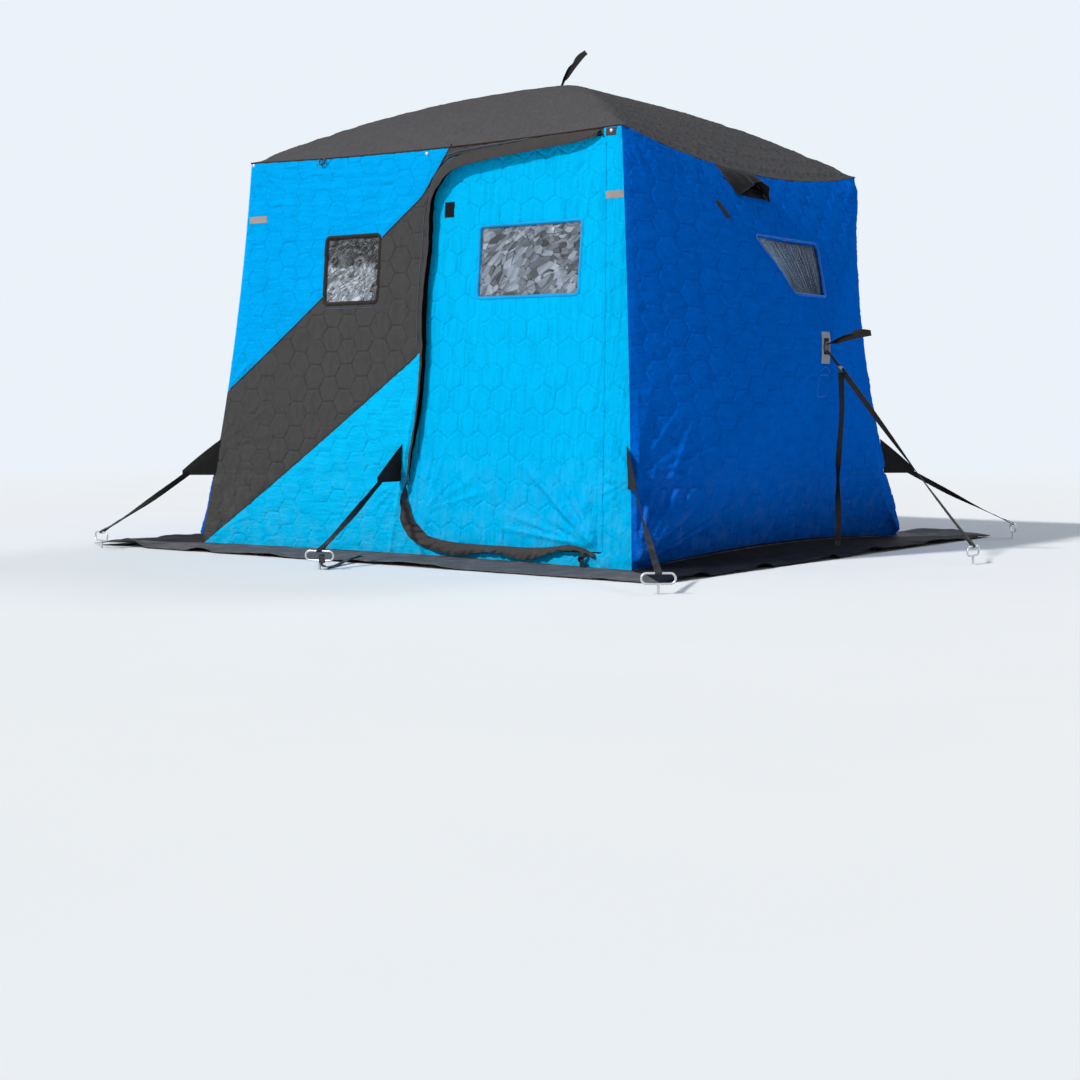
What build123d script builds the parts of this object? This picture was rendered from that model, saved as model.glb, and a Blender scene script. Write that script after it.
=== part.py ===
from build123d import *
import math
import os

# Overall form of the pitched shelter, in millimetres
base_half = 1225.0
top_half = 1045.0
wall_height = 1800.0
roof_rise = 390.0
roof_peak = wall_height + roof_rise
wall_thickness = 8.0
skirt_thickness = 5.0
seam_clearance = 0.3
wall_foot = skirt_thickness + seam_clearance

# Side hubs push the middle of three walls outwards
hub_bulge = 215.0
hub_reach = base_half + hub_bulge
hub_height = 923.0
hub_pad_half = 75.0

# How far taut poles bow out and seams draw in
upper_pole_bow = Vector(45, 0, 20)
lower_pole_bow = Vector(38, 0, -8)
roof_pole_bow = Vector(0, 0, 52)
top_seam_draw = Vector(35, 0, -100)
foot_seam_draw = Vector(10, 0, 48)
front_corner_draw = Vector(-12, 32, 0)
rear_corner_draw = Vector(-45, -45, 0)
header_sag = 20.0
front_foot_rise = 8.0
front_foot_draw = 20.0

# Skirt that lies on the ice
skirt_width = 350.0
skirt_fold = 90.0

# Frame of poles, hubs and header bar
pole_radius = 5.5
pole_inset = 25.0
pole_fit = 0.3
socket_radius = 13.0
socket_lift = 2.0
pole_start_gap = 10.0
pole_end_gap = 24.0
hub_radius = 42.0
hub_depth = 22.0
hub_cap_radius = 26.0
hub_cap_height = 6.0
hub_bolt_radius = 6.0
hub_hole_length = 60.0
header_bar_width = 9.0
header_bar_height = 8.0
header_bar_gap = 1.0
header_hinge_length = 90.0
header_hinge_wall = 3.0

# Door in the front wall, hung on its right edge
hinge_top_margin = 86.0
hinge_foot_margin = 154.0
hinge_top_x = top_half - hinge_top_margin
hinge_foot_x = base_half - hinge_foot_margin
door_left = 60.0
door_sill = 66.0
door_right_drop = 34.0
door_left_drop = 62.0
door_top_right = wall_height - door_right_drop
door_top_left = wall_height - door_left_drop
door_upper_radius = 150.0
door_lower_radius = 220.0
hinge_side_margin = 300.0
door_clearance = 6.0
hinge_clearance = 0.3
hinge_end_gap = 5.0
flap_outside = 15.0
flap_inside = 32.0
flap_seam = 14.0
flap_stand_off = 5.5
flap_thickness = 3.0

# Windows and vents
window_binding = 12.0
binding_thickness = 2.0
window_radius = 14.0
pane_depth = 3.0
pane_thickness = 1.5
door_window = (350.0, 1122.0, 876.0, 1418.0)
front_window = (-545.0, 1126.0, -232.0, 1414.0)
side_window = (-255.0, 1152.0, 255.0, 1388.0)
vent_center = -190.0
vent_width = 190.0
vent_drop = 194.0
vent_sill = wall_height - vent_drop
vent_height = 56.0
hood_front_out = 167.0
hood_back_out = 30.0
hood_reach = top_half + hood_front_out
hood_back = top_half + hood_back_out
hood_back_half = 165.0
hood_front_half = 125.0
hood_foot_drop = 212.0
hood_back_drop = 102.0
hood_front_drop = 144.0
hood_foot = wall_height - hood_foot_drop
hood_back_crown = wall_height - hood_back_drop
hood_front_crown = wall_height - hood_front_drop
hood_thickness = 3.0
hood_trim = 250.0

# How far cutting shapes reach past the cloth
cut_inside = 250.0
cut_outside = 200.0

# Coloured panels of the front wall
panel_margin = 100.0
band_top_margin = 50.0
sill_panel_height = 300.0
band_side_margin = 75.0
band_left_x = -(base_half + band_side_margin)
band_upper_left = 605.0
band_knee_x = 10.0
band_knee_drop = 228.0
band_top_x = 186.0
band_top_rise = 30.0
band_upper_knee = (band_knee_x, wall_height - band_knee_drop)
band_upper_top = (band_top_x, wall_height + band_top_rise)
band_lower_left = -56.0
band_lower_right = 934.0
panel_split_x = 100.0

# Guy lines, their cloth gussets and the ice anchors
gusset_top = 500.0
gusset_foot = 328.0
gusset_reach = 130.0
gusset_root = 60.0
gusset_thickness = 3.0
gusset_tip = 22.0
front_gusset_x = -25.0
strap_width = 25.0
strap_thickness = 2.0
anchor_wire = 4.0
anchor_stem_radius = 4.8
anchor_width = 122.0
anchor_height = 38.0
anchor_stem = 36.0
front_left_guy_x = 165.0
front_left_guy_y = 465.0
front_right_guy_x = 535.0
front_right_guy_y = 645.0
rear_guy_x = 475.0
rear_guy_y = 335.0
front_guy_x = 150.0
front_guy_y = 655.0
hub_guy_reach = 705.0
anchor_places = {
    "front_left": (-(base_half + front_left_guy_x), -(base_half + front_left_guy_y)),
    "front_right": (base_half + front_right_guy_x, -(base_half + front_right_guy_y)),
    "rear_right": (base_half + rear_guy_x, base_half + rear_guy_y),
    "rear_left": (-(base_half + rear_guy_x), base_half + rear_guy_y),
}
front_anchor = (front_guy_x, -(base_half + front_guy_y))
hub_anchor_reach = hub_reach + hub_guy_reach
buckle_distance = 110.0
buckle_size = (46.0, 34.0, 7.0)
tail_foot = 45.0
tail_offset = 6.0
hub_guy_drop = 16.0
hub_loop_lift = 12.0
pull_loop_length = 205.0
pull_loop_rise = 45.0
pull_loop_arch = 14.0
roof_loop_height = 165.0
roof_loop_lean = 150.0
roof_loop_arch = Vector(-14, 0, 22)

parts = {}


def corner(side_x, side_y, top, inset):
    """Corner of the cloth, moved inwards by the inset."""
    half = (top_half if top else base_half) - inset
    height = wall_height - inset if top else wall_foot
    return Vector(side_x * half, side_y * half, height)


def bowed(start, end, bow):
    """Arc from start to end whose middle is moved by the bow."""
    return Edge.make_three_point_arc(start, (start + end) * 0.5 + bow, end)


def flip_y(vector):
    return Vector(vector.X, -vector.Y, vector.Z)


def solid_between(outer, inner):
    """Closed skin between two matching layers, each a list of faces and a list of rim edges."""
    rims = [Face.make_surface_from_curves(a, b) for a, b in zip(outer[1], inner[1])]
    return Solid(Shell(outer[0] + inner[0] + rims))


def hub_wall_lines(inset, near_draw, far_draw):
    """Seams, pole ridges and hub edges of the wall that faces +X."""
    ends = {
        "near_top": corner(1, -1, True, inset),
        "far_top": corner(1, 1, True, inset),
        "near_foot": corner(1, -1, False, inset),
        "far_foot": corner(1, 1, False, inset),
    }
    hub = Vector(hub_reach - inset, 0, hub_height)
    ring = {}
    ridges = {}
    for name, end in ends.items():
        away = Vector(0, end.Y - hub.Y, end.Z - hub.Z).normalized()
        ring[name] = hub + away * hub_pad_half
        bow = upper_pole_bow if "top" in name else lower_pole_bow
        ridges[name] = bowed(end, ring[name], bow)
    seams = {
        "top": bowed(ends["near_top"], ends["far_top"], top_seam_draw),
        "near": bowed(ends["near_top"], ends["near_foot"], near_draw),
        "far": bowed(ends["far_top"], ends["far_foot"], far_draw),
        "foot": bowed(ends["near_foot"], ends["far_foot"], foot_seam_draw),
    }
    return ridges, seams, ring


def hub_wall_layer(inset, near_draw, far_draw):
    """One layer of the wall that faces +X: four taut facets round a flat hub pad."""
    ridges, seams, ring = hub_wall_lines(inset, near_draw, far_draw)
    borders = {
        "top": ("near_top", "far_top"),
        "near": ("near_top", "near_foot"),
        "far": ("far_top", "far_foot"),
        "foot": ("near_foot", "far_foot"),
    }
    pad_edges = {}
    faces = []
    for side, (first, second) in borders.items():
        pad_edges[side] = Edge.make_line(ring[first], ring[second])
        faces.append(Face.make_surface([seams[side], ridges[first], pad_edges[side], ridges[second]]))
    faces.append(Face(Wire(list(pad_edges.values()))))
    return faces, [seams[side] for side in borders]


def right_sheet(outer, inner):
    near = front_corner_draw
    far = rear_corner_draw
    return solid_between(hub_wall_layer(outer, near, far), hub_wall_layer(inner, near, far))


def back_sheet(outer, inner):
    near = flip_y(rear_corner_draw)
    far = rear_corner_draw
    sheet = solid_between(hub_wall_layer(outer, near, far), hub_wall_layer(inner, near, far))
    return sheet.rotate(Axis.Z, 90)


def front_edge(top, inset):
    """Whole top or foot seam of the front wall, from left to right."""
    left = corner(-1, -1, top, inset)
    right = corner(1, -1, top, inset)
    if top:
        return bowed(left, right, Vector(0, 0, -header_sag))
    return bowed(left, right, Vector(0, front_foot_draw, front_foot_rise))


def hinge_share(top):
    """Where the hinge seam meets the top or foot seam, as a share of its length."""
    if top:
        return 0.5 + hinge_top_x / (2 * top_half)
    return 0.5 + hinge_foot_x / (2 * base_half)


def front_lines(inset):
    """Outline of the front wall, split at its hinge seam."""
    header = front_edge(True, inset)
    foot = front_edge(False, inset)
    left_draw = Vector(-front_corner_draw.X, front_corner_draw.Y, 0)
    hinge_top = header @ hinge_share(True)
    hinge_foot = foot @ hinge_share(False)
    return {
        "left": bowed(header @ 0, foot @ 0, left_draw),
        "header": header.trim(0, hinge_share(True)),
        "header_end": header.trim(hinge_share(True), 1),
        "right": bowed(header @ 1, foot @ 1, front_corner_draw),
        "foot_end": foot.trim(hinge_share(False), 1),
        "foot": foot.trim(0, hinge_share(False)),
        "hinge": Edge.make_line(hinge_top, hinge_foot),
    }


def front_layer(inset):
    lines = front_lines(inset)
    main = Face.make_surface([lines[k] for k in ("left", "header", "hinge", "foot")])
    strip = Face.make_surface([lines[k] for k in ("hinge", "header_end", "right", "foot_end")])
    rim = [lines[k] for k in ("left", "header", "header_end", "right", "foot_end", "foot")]
    return [main, strip], rim


def front_sheet(outer, inner):
    return solid_between(front_layer(outer), front_layer(inner))


def roof_layer(inset):
    """One layer of the roof: four facets between bowed poles round a flat hub pad."""
    hub = Vector(0, 0, roof_peak - inset)
    sides = [(1, -1), (1, 1), (-1, 1), (-1, -1)]
    tops = [corner(x, y, True, inset) for x, y in sides]
    ring = [hub + Vector(x, y, 0).normalized() * hub_pad_half for x, y in sides]
    ridges = [bowed(top, pad, roof_pole_bow) for top, pad in zip(tops, ring)]
    borders = []
    for index in range(3):
        draw = top_seam_draw.rotate(Axis.Z, 90 * index)
        borders.append(bowed(tops[index], tops[index + 1], draw))
    borders.append(front_edge(True, inset))
    faces = []
    pad_edges = []
    for index, border in enumerate(borders):
        following = (index + 1) % 4
        pad_edges.append(Edge.make_line(ring[index], ring[following]))
        faces.append(Face.make_surface([border, ridges[index], pad_edges[index], ridges[following]]))
    faces.append(Face(Wire(pad_edges)))
    return faces, borders


def outline(points, radii):
    """Flat outline with its corners rounded, drawn as width and height."""
    shape = make_face(Polyline(*points, close=True))
    for point, radius in zip(points, radii):
        if radius > 0:
            nearest = shape.vertices().sort_by_distance(Vector(*point))[0]
            shape = fillet(nearest, radius)
    return shape


def window_outline(window, margin):
    left, foot, right, top = window
    width = right - left + 2 * margin
    height = top - foot + 2 * margin
    shape = RectangleRounded(width, height, window_radius + margin)
    return Pos((left + right) / 2, (foot + top) / 2) * shape


def through_front(shape):
    """Extrude an outline of width and height through the front wall."""
    depth = base_half - top_half + cut_inside + cut_outside
    return extrude(Plane.XZ.offset(top_half - cut_inside) * shape, amount=depth)


def through_right(shape):
    """Extrude an outline of depth and height through the right wall."""
    depth = hub_reach - top_half + cut_inside + cut_outside
    return extrude(Plane.YZ.offset(top_half - cut_inside) * shape, amount=depth)


def hinge_ends():
    """Foot and top of the hinge seam on the outer face."""
    foot = front_edge(False, 0) @ hinge_share(False)
    top = front_edge(True, 0) @ hinge_share(True)
    return foot, top


def hinge_x(height):
    foot, top = hinge_ends()
    share = (height - foot.Z) / (top.Z - foot.Z)
    return foot.X + (top.X - foot.X) * share


def doorway_outline(grow):
    """D-shaped doorway, grown or shrunk all round."""
    points = [
        (hinge_x(door_sill), door_sill),
        (hinge_x(door_top_right), door_top_right),
        (door_left, door_top_left),
        (door_left, door_sill),
    ]
    shape = outline(points, [0, 0, door_upper_radius, door_lower_radius])
    if grow == 0:
        return shape
    return offset(shape, amount=grow, kind=Kind.INTERSECTION)


def main_solid(shape):
    """Largest solid of a result, without slivers."""
    return shape.solids().sort_by(SortBy.VOLUME)[-1]


def add_part(name, shape, color):
    shape.label = name
    shape.color = Color(*color)
    parts[name] = shape


blue = (0.05, 0.25, 0.75)
grey = (0.2, 0.2, 0.22)
black = (0.05, 0.05, 0.05)
clear = (0.7, 0.8, 0.85)
steel = (0.7, 0.7, 0.7)
orange = (0.8, 0.6, 0.2)


def make_front_wall():
    """Front wall in its coloured panels, with the doorway and a window cut through."""
    sheet = front_sheet(0, wall_thickness)
    sheet = sheet - through_front(doorway_outline(0))
    sheet = sheet - through_front(window_outline(front_window, 0))
    far_x = -band_left_x
    low = -panel_margin
    high = wall_height + panel_margin
    header_top = high - band_top_margin
    sill_top = door_sill + sill_panel_height
    upper_line = [(band_left_x, band_upper_left), band_upper_knee, band_upper_top]
    lower_line = [(band_left_x, band_lower_left), (panel_split_x, band_lower_right)]
    upper = upper_line + [(band_left_x, high)]
    band = upper_line + [(band_upper_top[0], header_top), lower_line[1], lower_line[0]]
    below = lower_line + [(panel_split_x, door_sill), (panel_split_x, low), (band_left_x, low)]
    header = [
        (panel_split_x, band_lower_right),
        (band_upper_top[0], header_top),
        (hinge_x(header_top), header_top),
        (hinge_x(band_lower_right), band_lower_right),
    ]
    hinge = [
        (hinge_x(low), low),
        (far_x, low),
        (far_x, high),
        (hinge_x(high), high),
    ]
    sill = [
        (panel_split_x, low),
        (hinge_x(low), low),
        (hinge_x(sill_top), sill_top),
        (panel_split_x, sill_top),
    ]
    panels = {
        "front_upper_panel": (upper, blue),
        "front_band_panel": (band, grey),
        "front_lower_panel": (below, blue),
        "front_header_panel": (header, blue),
        "front_hinge_panel": (hinge, blue),
        "front_sill_panel": (sill, blue),
    }
    cord = make_hinge_cord()
    for name, (points, color) in panels.items():
        region = make_face(Polyline(*points, close=True))
        panel = main_solid(sheet & through_front(region))
        if name == "front_hinge_panel":
            panel = main_solid(panel - cord)
        add_part(name, panel, color)
    add_part("door_hinge_cord", cord, black)
    add_window("front_window", front_sheet, through_front, front_window)


def make_hinge_cord():
    """Piping in the hinge seam, which the door turns about."""
    foot, top = hinge_ends()
    run = top - foot
    start = foot + run * ((door_sill + hinge_end_gap - foot.Z) / run.Z)
    end = foot + run * ((door_top_right - hinge_end_gap - foot.Z) / run.Z)
    length = (end - start).length
    plane = Plane(origin=start, z_dir=(end - start))
    return (plane * Cylinder(door_clearance - hinge_clearance, length,
                             align=(Align.CENTER, Align.CENTER, Align.MIN))).solid()


def add_window(name, sheet, through, window):
    """Clear pane in the opening and cloth binding round it, on the outer face."""
    opening = through(window_outline(window, 0))
    rim = through(window_outline(window, window_binding)) - opening
    pane = sheet(pane_depth, pane_depth + pane_thickness) & opening
    binding = sheet(-binding_thickness, 0) & rim
    add_part(name + "_pane", main_solid(pane), clear)
    add_part(name + "_binding", main_solid(binding), black)


def make_door():
    """Door panel with its window, and the storm flap that covers the zip."""
    leaf = front_sheet(0, wall_thickness) & through_front(doorway_outline(-door_clearance))
    leaf = leaf - through_front(window_outline(door_window, 0))
    add_part("door_panel", main_solid(leaf), blue)
    add_window("door_window", front_sheet, through_front, door_window)
    hinge_side = through_front(make_face(Polyline(
        (hinge_x(0) - 2 * door_clearance, 0),
        (hinge_x(0) + hinge_side_margin, 0),
        (hinge_x(wall_height) + hinge_side_margin, wall_height),
        (hinge_x(wall_height) - 2 * door_clearance, wall_height),
        close=True)))
    leaf_inner = doorway_outline(-flap_inside)
    flap_outer = doorway_outline(flap_outside)
    lap = through_front(flap_outer) - through_front(leaf_inner) - hinge_side
    seam_inner = doorway_outline(-flap_inside + flap_seam)
    seam = through_front(seam_inner) - through_front(leaf_inner) - hinge_side
    flap = front_sheet(-flap_stand_off - flap_thickness, -flap_stand_off) & lap
    root = front_sheet(-flap_stand_off, 0) & seam
    flap = main_solid(main_solid(flap) + main_solid(root))
    add_part("door_storm_flap", flap, grey)


def make_side_walls():
    """Right, left and back walls, each with a window and, at the sides, a hooded vent."""
    opening = through_right(window_outline(side_window, 0))
    slot = Pos(vent_center, vent_sill + vent_height / 2) * SlotOverall(vent_width, vent_height)
    bolt_hole = Rot(0, 90, 0) * Cylinder(hub_bolt_radius + pole_fit, hub_hole_length)
    bolt_hole = Pos(hub_reach, 0, hub_height) * bolt_hole
    right = right_sheet(0, wall_thickness) - opening - through_right(slot) - bolt_hole
    back_hole = bolt_hole.rotate(Axis.Z, 90)
    back = back_sheet(0, wall_thickness) - opening.rotate(Axis.Z, 90) - back_hole
    right = main_solid(right)
    add_part("right_wall", right, blue)
    add_part("left_wall", right.mirror(Plane.YZ), blue)
    add_part("back_wall", main_solid(back), blue)
    add_window("right_window", right_sheet, through_right, side_window)
    for piece in ("pane", "binding"):
        source = parts["right_window_" + piece]
        color = clear if piece == "pane" else black
        add_part("left_window_" + piece, source.mirror(Plane.YZ), color)
    rim = through_right(window_outline(side_window, window_binding)) - opening
    pane = back_sheet(pane_depth, pane_depth + pane_thickness) & opening.rotate(Axis.Z, 90)
    binding = back_sheet(-binding_thickness, 0) & rim.rotate(Axis.Z, 90)
    add_part("back_window_pane", main_solid(pane), clear)
    add_part("back_window_binding", main_solid(binding), black)
    hood = make_vent_hood()
    add_part("right_vent_hood", hood, grey)
    add_part("left_vent_hood", hood.mirror(Plane.YZ), grey)


def hood_profile(reach, half, crown, shrink):
    """Half-round profile of the vent hood at one distance from the wall."""
    arch = Pos(vent_center, hood_foot) * Ellipse(half - shrink, crown - hood_foot - shrink)
    keep = Pos(vent_center, hood_foot) * Rectangle(2 * half, crown - hood_foot, align=(Align.CENTER, Align.MIN))
    return Plane.YZ.offset(reach) * (arch & keep)


def make_vent_hood():
    """Hooped cloth hood over the vent, open below and in front."""
    outer = loft([
        hood_profile(hood_back, hood_back_half, hood_back_crown, 0),
        hood_profile(hood_reach, hood_front_half, hood_front_crown, 0),
    ])
    inner = loft([
        hood_profile(hood_back, hood_back_half, hood_back_crown, hood_thickness),
        hood_profile(hood_reach, hood_front_half, hood_front_crown, hood_thickness),
    ])
    hood = outer - inner - right_sheet(0, hood_trim)
    return main_solid(hood)


def make_roof():
    roof = solid_between(roof_layer(0), roof_layer(wall_thickness))
    hole = Pos(0, 0, roof_peak) * Cylinder(hub_bolt_radius + pole_fit, hub_hole_length)
    add_part("roof", main_solid(roof - hole), grey)


def skirt_layer(height, draw):
    """Top or bottom face of the skirt along the +X side: a rise to the wall, then a flat band."""
    rows = []
    for reach in (base_half - wall_thickness, base_half + skirt_fold, base_half + skirt_width):
        rows.append((Vector(reach, -reach, height), Vector(reach, reach, height)))
    (near, far), (fold_near, fold_far), (outer_near, outer_far) = rows
    seam = bowed(near, far, draw)
    fold = Edge.make_line(fold_far, fold_near)
    rise_far = Edge.make_line(far, fold_far)
    rise_near = Edge.make_line(fold_near, near)
    side_far = Edge.make_line(fold_far, outer_far)
    side_near = Edge.make_line(outer_near, fold_near)
    hem = Edge.make_line(outer_far, outer_near)
    rise = Face.make_surface([seam, rise_far, fold, rise_near])
    band = Face(Wire([fold, side_far, hem, side_near]))
    return [rise, band], [seam, rise_far, side_far, hem, side_near, rise_near]


def make_skirts():
    """Four cloth skirts sewn under the walls and laid out on the ice."""
    front_draw = Vector(-front_foot_draw, 0, front_foot_rise)
    sides = {
        "right": (0, foot_seam_draw),
        "back": (90, foot_seam_draw),
        "left": (180, foot_seam_draw),
        "front": (-90, front_draw),
    }
    for side, (turn, draw) in sides.items():
        skirt = solid_between(skirt_layer(skirt_thickness, draw), skirt_layer(0, draw))
        add_part(side + "_skirt", skirt.rotate(Axis.Z, turn), grey)


def tube_along(path, radius):
    """Round bar along an arc or line."""
    plane = Plane(origin=path @ 0, z_dir=path % 0)
    return sweep(plane * Circle(radius), path=path).solid()


def pole_paths():
    """Arcs of the poles at each hub, from the corner sockets to the hub."""
    hub = Vector(hub_reach - pole_inset, 0, hub_height)
    peak = Vector(0, 0, roof_peak - pole_inset)
    right = []
    for y in (-1, 1):
        right.append(trimmed(bowed(socket_center(1, y, True), hub, upper_pole_bow)))
        right.append(trimmed(bowed(socket_center(1, y, False), hub, lower_pole_bow)))
    roof = []
    for x, y in ((1, -1), (1, 1), (-1, 1), (-1, -1)):
        roof.append(trimmed(bowed(socket_center(x, y, True), peak, roof_pole_bow)))
    return {"right": right, "roof": roof}


def socket_center(x, y, top):
    """Middle of a corner socket; those at the foot stand just above the ice."""
    lift = 0 if top else socket_radius + socket_lift
    return corner(x, y, top, pole_inset) + Vector(0, 0, lift)


def trimmed(line):
    """Pole path between its socket at the corner and its socket in the hub."""
    return line.trim(pole_start_gap / line.length, 1 - pole_end_gap / line.length)


def make_poles_and_hubs():
    """Bowed poles, the hub blocks that hold them and the sockets at the corners."""
    paths = pole_paths()
    poles = {key: [tube_along(path, pole_radius) for path in paths[key]] for key in paths}
    loose = {key: [tube_along(path, pole_radius + pole_fit) for path in paths[key]] for key in paths}
    bolt = Cylinder(hub_bolt_radius, pole_inset + hub_cap_height, align=(Align.CENTER, Align.CENTER, Align.MIN))
    cap = Pos(0, 0, pole_inset) * Cylinder(hub_cap_radius, hub_cap_height,
                                          align=(Align.CENTER, Align.CENTER, Align.MIN))
    hub = Cylinder(hub_radius, hub_depth) + bolt + cap
    right_hub = Pos(hub_reach - pole_inset, 0, hub_height) * Rot(0, 90, 0) * hub
    roof_hub = Pos(0, 0, roof_peak - pole_inset) * hub
    for tube in loose["right"]:
        right_hub = right_hub - tube
    for tube in loose["roof"]:
        roof_hub = roof_hub - tube
    right_hub = main_solid(right_hub)
    add_part("right_hub", right_hub, black)
    add_part("left_hub", right_hub.mirror(Plane.YZ), black)
    add_part("back_hub", right_hub.rotate(Axis.Z, 90), black)
    add_part("roof_hub", main_solid(roof_hub), black)
    right_poles = poles["right"]
    add_part("right_poles", Compound(right_poles), orange)
    add_part("left_poles", Compound([pole.mirror(Plane.YZ) for pole in right_poles]), orange)
    add_part("back_poles", Compound([pole.rotate(Axis.Z, 90) for pole in right_poles]), orange)
    add_part("roof_poles", Compound(poles["roof"]), orange)
    tubes = loose["roof"] + loose["right"] + [tube.rotate(Axis.Z, 90) for tube in loose["right"]]
    sockets = []
    for y in (-1, 1):
        for top in (True, False):
            socket = Pos(*socket_center(1, y, top)) * Sphere(socket_radius)
            for tube in tubes:
                socket = socket - tube
            socket = main_solid(socket)
            sockets += [socket, socket.mirror(Plane.YZ)]
    add_part("corner_sockets", Compound(sockets), black)
    bars = make_header_bars(0)
    add_part("header_bar_left", bars[0], steel)
    add_part("header_bar_right", bars[1], steel)
    add_part("header_hinge", make_header_hinge(), steel)


def header_middle():
    """Where the two header bars meet, drawn down as the cloth is."""
    return Vector(0, -(top_half - pole_inset), wall_height - pole_inset - header_sag)


def bar_between(start, end, width, height):
    """Straight bar of rectangular section, with its width in plan."""
    run = end - start
    side = Vector(-run.Y, run.X, 0).normalized()
    plane = Plane(origin=start, x_dir=side, z_dir=run)
    return (plane * Box(width, height, run.length, align=(Align.CENTER, Align.CENTER, Align.MIN))).solid()


def make_header_bars(grow):
    """Two bars that fold at the middle and hold the front edge of the roof straight."""
    bars = []
    middle = header_middle()
    for side in (-1, 1):
        end = socket_center(side, -1, True)
        run = (end - middle).normalized()
        start = middle + run * header_bar_gap
        stop = end - run * (socket_radius + pole_fit)
        bars.append(bar_between(start, stop, header_bar_width + 2 * grow, header_bar_height + 2 * grow))
    return bars


def make_header_hinge():
    """Folding knuckle: a channel that wraps both bars at the middle."""
    width = header_bar_width + 2 * header_hinge_wall
    height = header_bar_height + 2 * header_hinge_wall
    outer = Pos(*header_middle()) * Box(header_hinge_length, width, height)
    for bar in make_header_bars(pole_fit):
        outer = outer - bar
    return main_solid(outer)


def make_guys():
    """Gussets on the corners, straps, buckles and ice anchors."""
    walls = [parts[name] for name in ("right_wall", "left_wall", "back_wall", "front_upper_panel",
                                      "front_lower_panel", "front_hinge_panel", "front_band_panel")]
    gussets = []
    straps = []
    anchors = []
    signs = {"front_left": (-1, -1), "front_right": (1, -1), "rear_right": (1, 1), "rear_left": (-1, 1)}
    tip_height = gusset_foot + gusset_tip / 2
    for name, (x, y) in signs.items():
        angle = math.degrees(math.atan2(y, x))
        radius = base_half * math.sqrt(2)
        gussets.append(make_gusset(Vector(0, 0, 0), angle, radius, walls))
        out = Vector(x, y, 0).normalized()
        strap, anchor = make_guy(corner_tip(x, y), Vector(*anchor_places[name]), out)
        straps.append(strap)
        anchors.append(anchor)
    gussets.append(make_gusset(Vector(front_gusset_x, 0, 0), -90, base_half, walls))
    tip = Vector(front_gusset_x, -(gusset_radius(base_half) + gusset_reach), tip_height)
    strap, anchor = make_guy(tip, Vector(*front_anchor), Vector(0, -1, 0))
    straps.append(strap)
    anchors.append(anchor)
    add_part("guy_gussets", Compound(gussets), black)
    add_part("corner_guy_straps", Compound(straps), black)
    add_part("corner_anchors", Compound(anchors), steel)


def corner_tip(x, y):
    """Where a corner guy leaves its gusset."""
    out = Vector(x, y, 0).normalized()
    reach = gusset_radius(base_half * math.sqrt(2)) + gusset_reach
    return out * reach + Vector(0, 0, gusset_foot + gusset_tip / 2)


def rear_anchor_reach():
    """The rear guy is pegged as far out as the front corner handles reach."""
    place = Vector(*anchor_places["front_right"])
    run = place - corner_tip(1, -1)
    share = abs(run.X) / math.hypot(run.X, run.Y)
    return -place.Y + anchor_width / 2 * share + anchor_wire - anchor_stem_radius


def guy_line(tip, place, out):
    """Ends of a strap, seated just clear of the piece it leaves."""
    top = Vector(place.X, place.Y, anchor_top())
    run = (top - tip).normalized()
    return tip + out * (2 * seam_clearance - strap_thickness / 2 * run.Z), top


def make_guy(tip, place, out):
    """Strap from a tip to an anchor whose handle lies square to it."""
    start, top = guy_line(tip, place, out)
    run = top - start
    turn = math.degrees(math.atan2(run.Y, run.X)) + 90
    return make_strap(start, top), make_anchor(place.X, place.Y, turn)


def anchor_top():
    return anchor_stem + anchor_height


def gusset_radius(foot_radius):
    """Distance of the wall from the gusset's origin at the gusset's foot."""
    return foot_radius * (1 - (1 - top_half / base_half) * gusset_foot / wall_height)


def make_gusset(origin, angle, foot_radius, walls):
    """Triangular cloth web that spreads a guy's pull along the seam."""
    root = gusset_radius(foot_radius)
    points = [
        (root - gusset_root, gusset_foot),
        (root + gusset_reach, gusset_foot),
        (root + gusset_reach, gusset_foot + gusset_tip),
        (root - gusset_root, gusset_top),
    ]
    web = extrude(Plane.XZ * make_face(Polyline(*points, close=True)), amount=gusset_thickness / 2, both=True)
    web = Pos(*origin) * web.rotate(Axis.Z, angle)
    for wall in walls:
        web = web - wall
    pieces = web.solids()
    far = Vector(math.cos(math.radians(angle)), math.sin(math.radians(angle)), 0)
    return max(pieces, key=lambda piece: piece.center().dot(far))


def make_anchor(x, y, turn):
    """Screw anchor: an oval wire handle on a stem that goes into the ice."""
    half = anchor_width / 2
    rise = anchor_height
    path = FilletPolyline(
        (-half, 0), (half, 0), (half, rise), (-half, rise),
        radius=rise / 2 - 0.01, close=True)
    path = Plane.XZ * path
    wire = Wire(path.edges())
    start = wire @ 0
    section = Plane(origin=start, z_dir=wire % 0) * Circle(anchor_wire)
    loop = sweep(section, path=wire)
    stem = Cylinder(anchor_stem_radius, anchor_stem, align=(Align.CENTER, Align.CENTER, Align.MAX))
    anchor = (loop + stem).solid()
    return Pos(x, y, anchor_stem) * Rot(0, 0, turn) * anchor


def make_strap(start, end):
    """Flat webbing from a gusset to the top bar of an anchor."""
    run = end - start
    length = run.length - anchor_wire - seam_clearance
    side = Vector(-run.Y, run.X, 0).normalized()
    plane = Plane(origin=start, x_dir=side, z_dir=run)
    return (plane * Box(strap_width, strap_thickness, length,
                        align=(Align.CENTER, Align.CENTER, Align.MIN))).solid()


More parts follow.
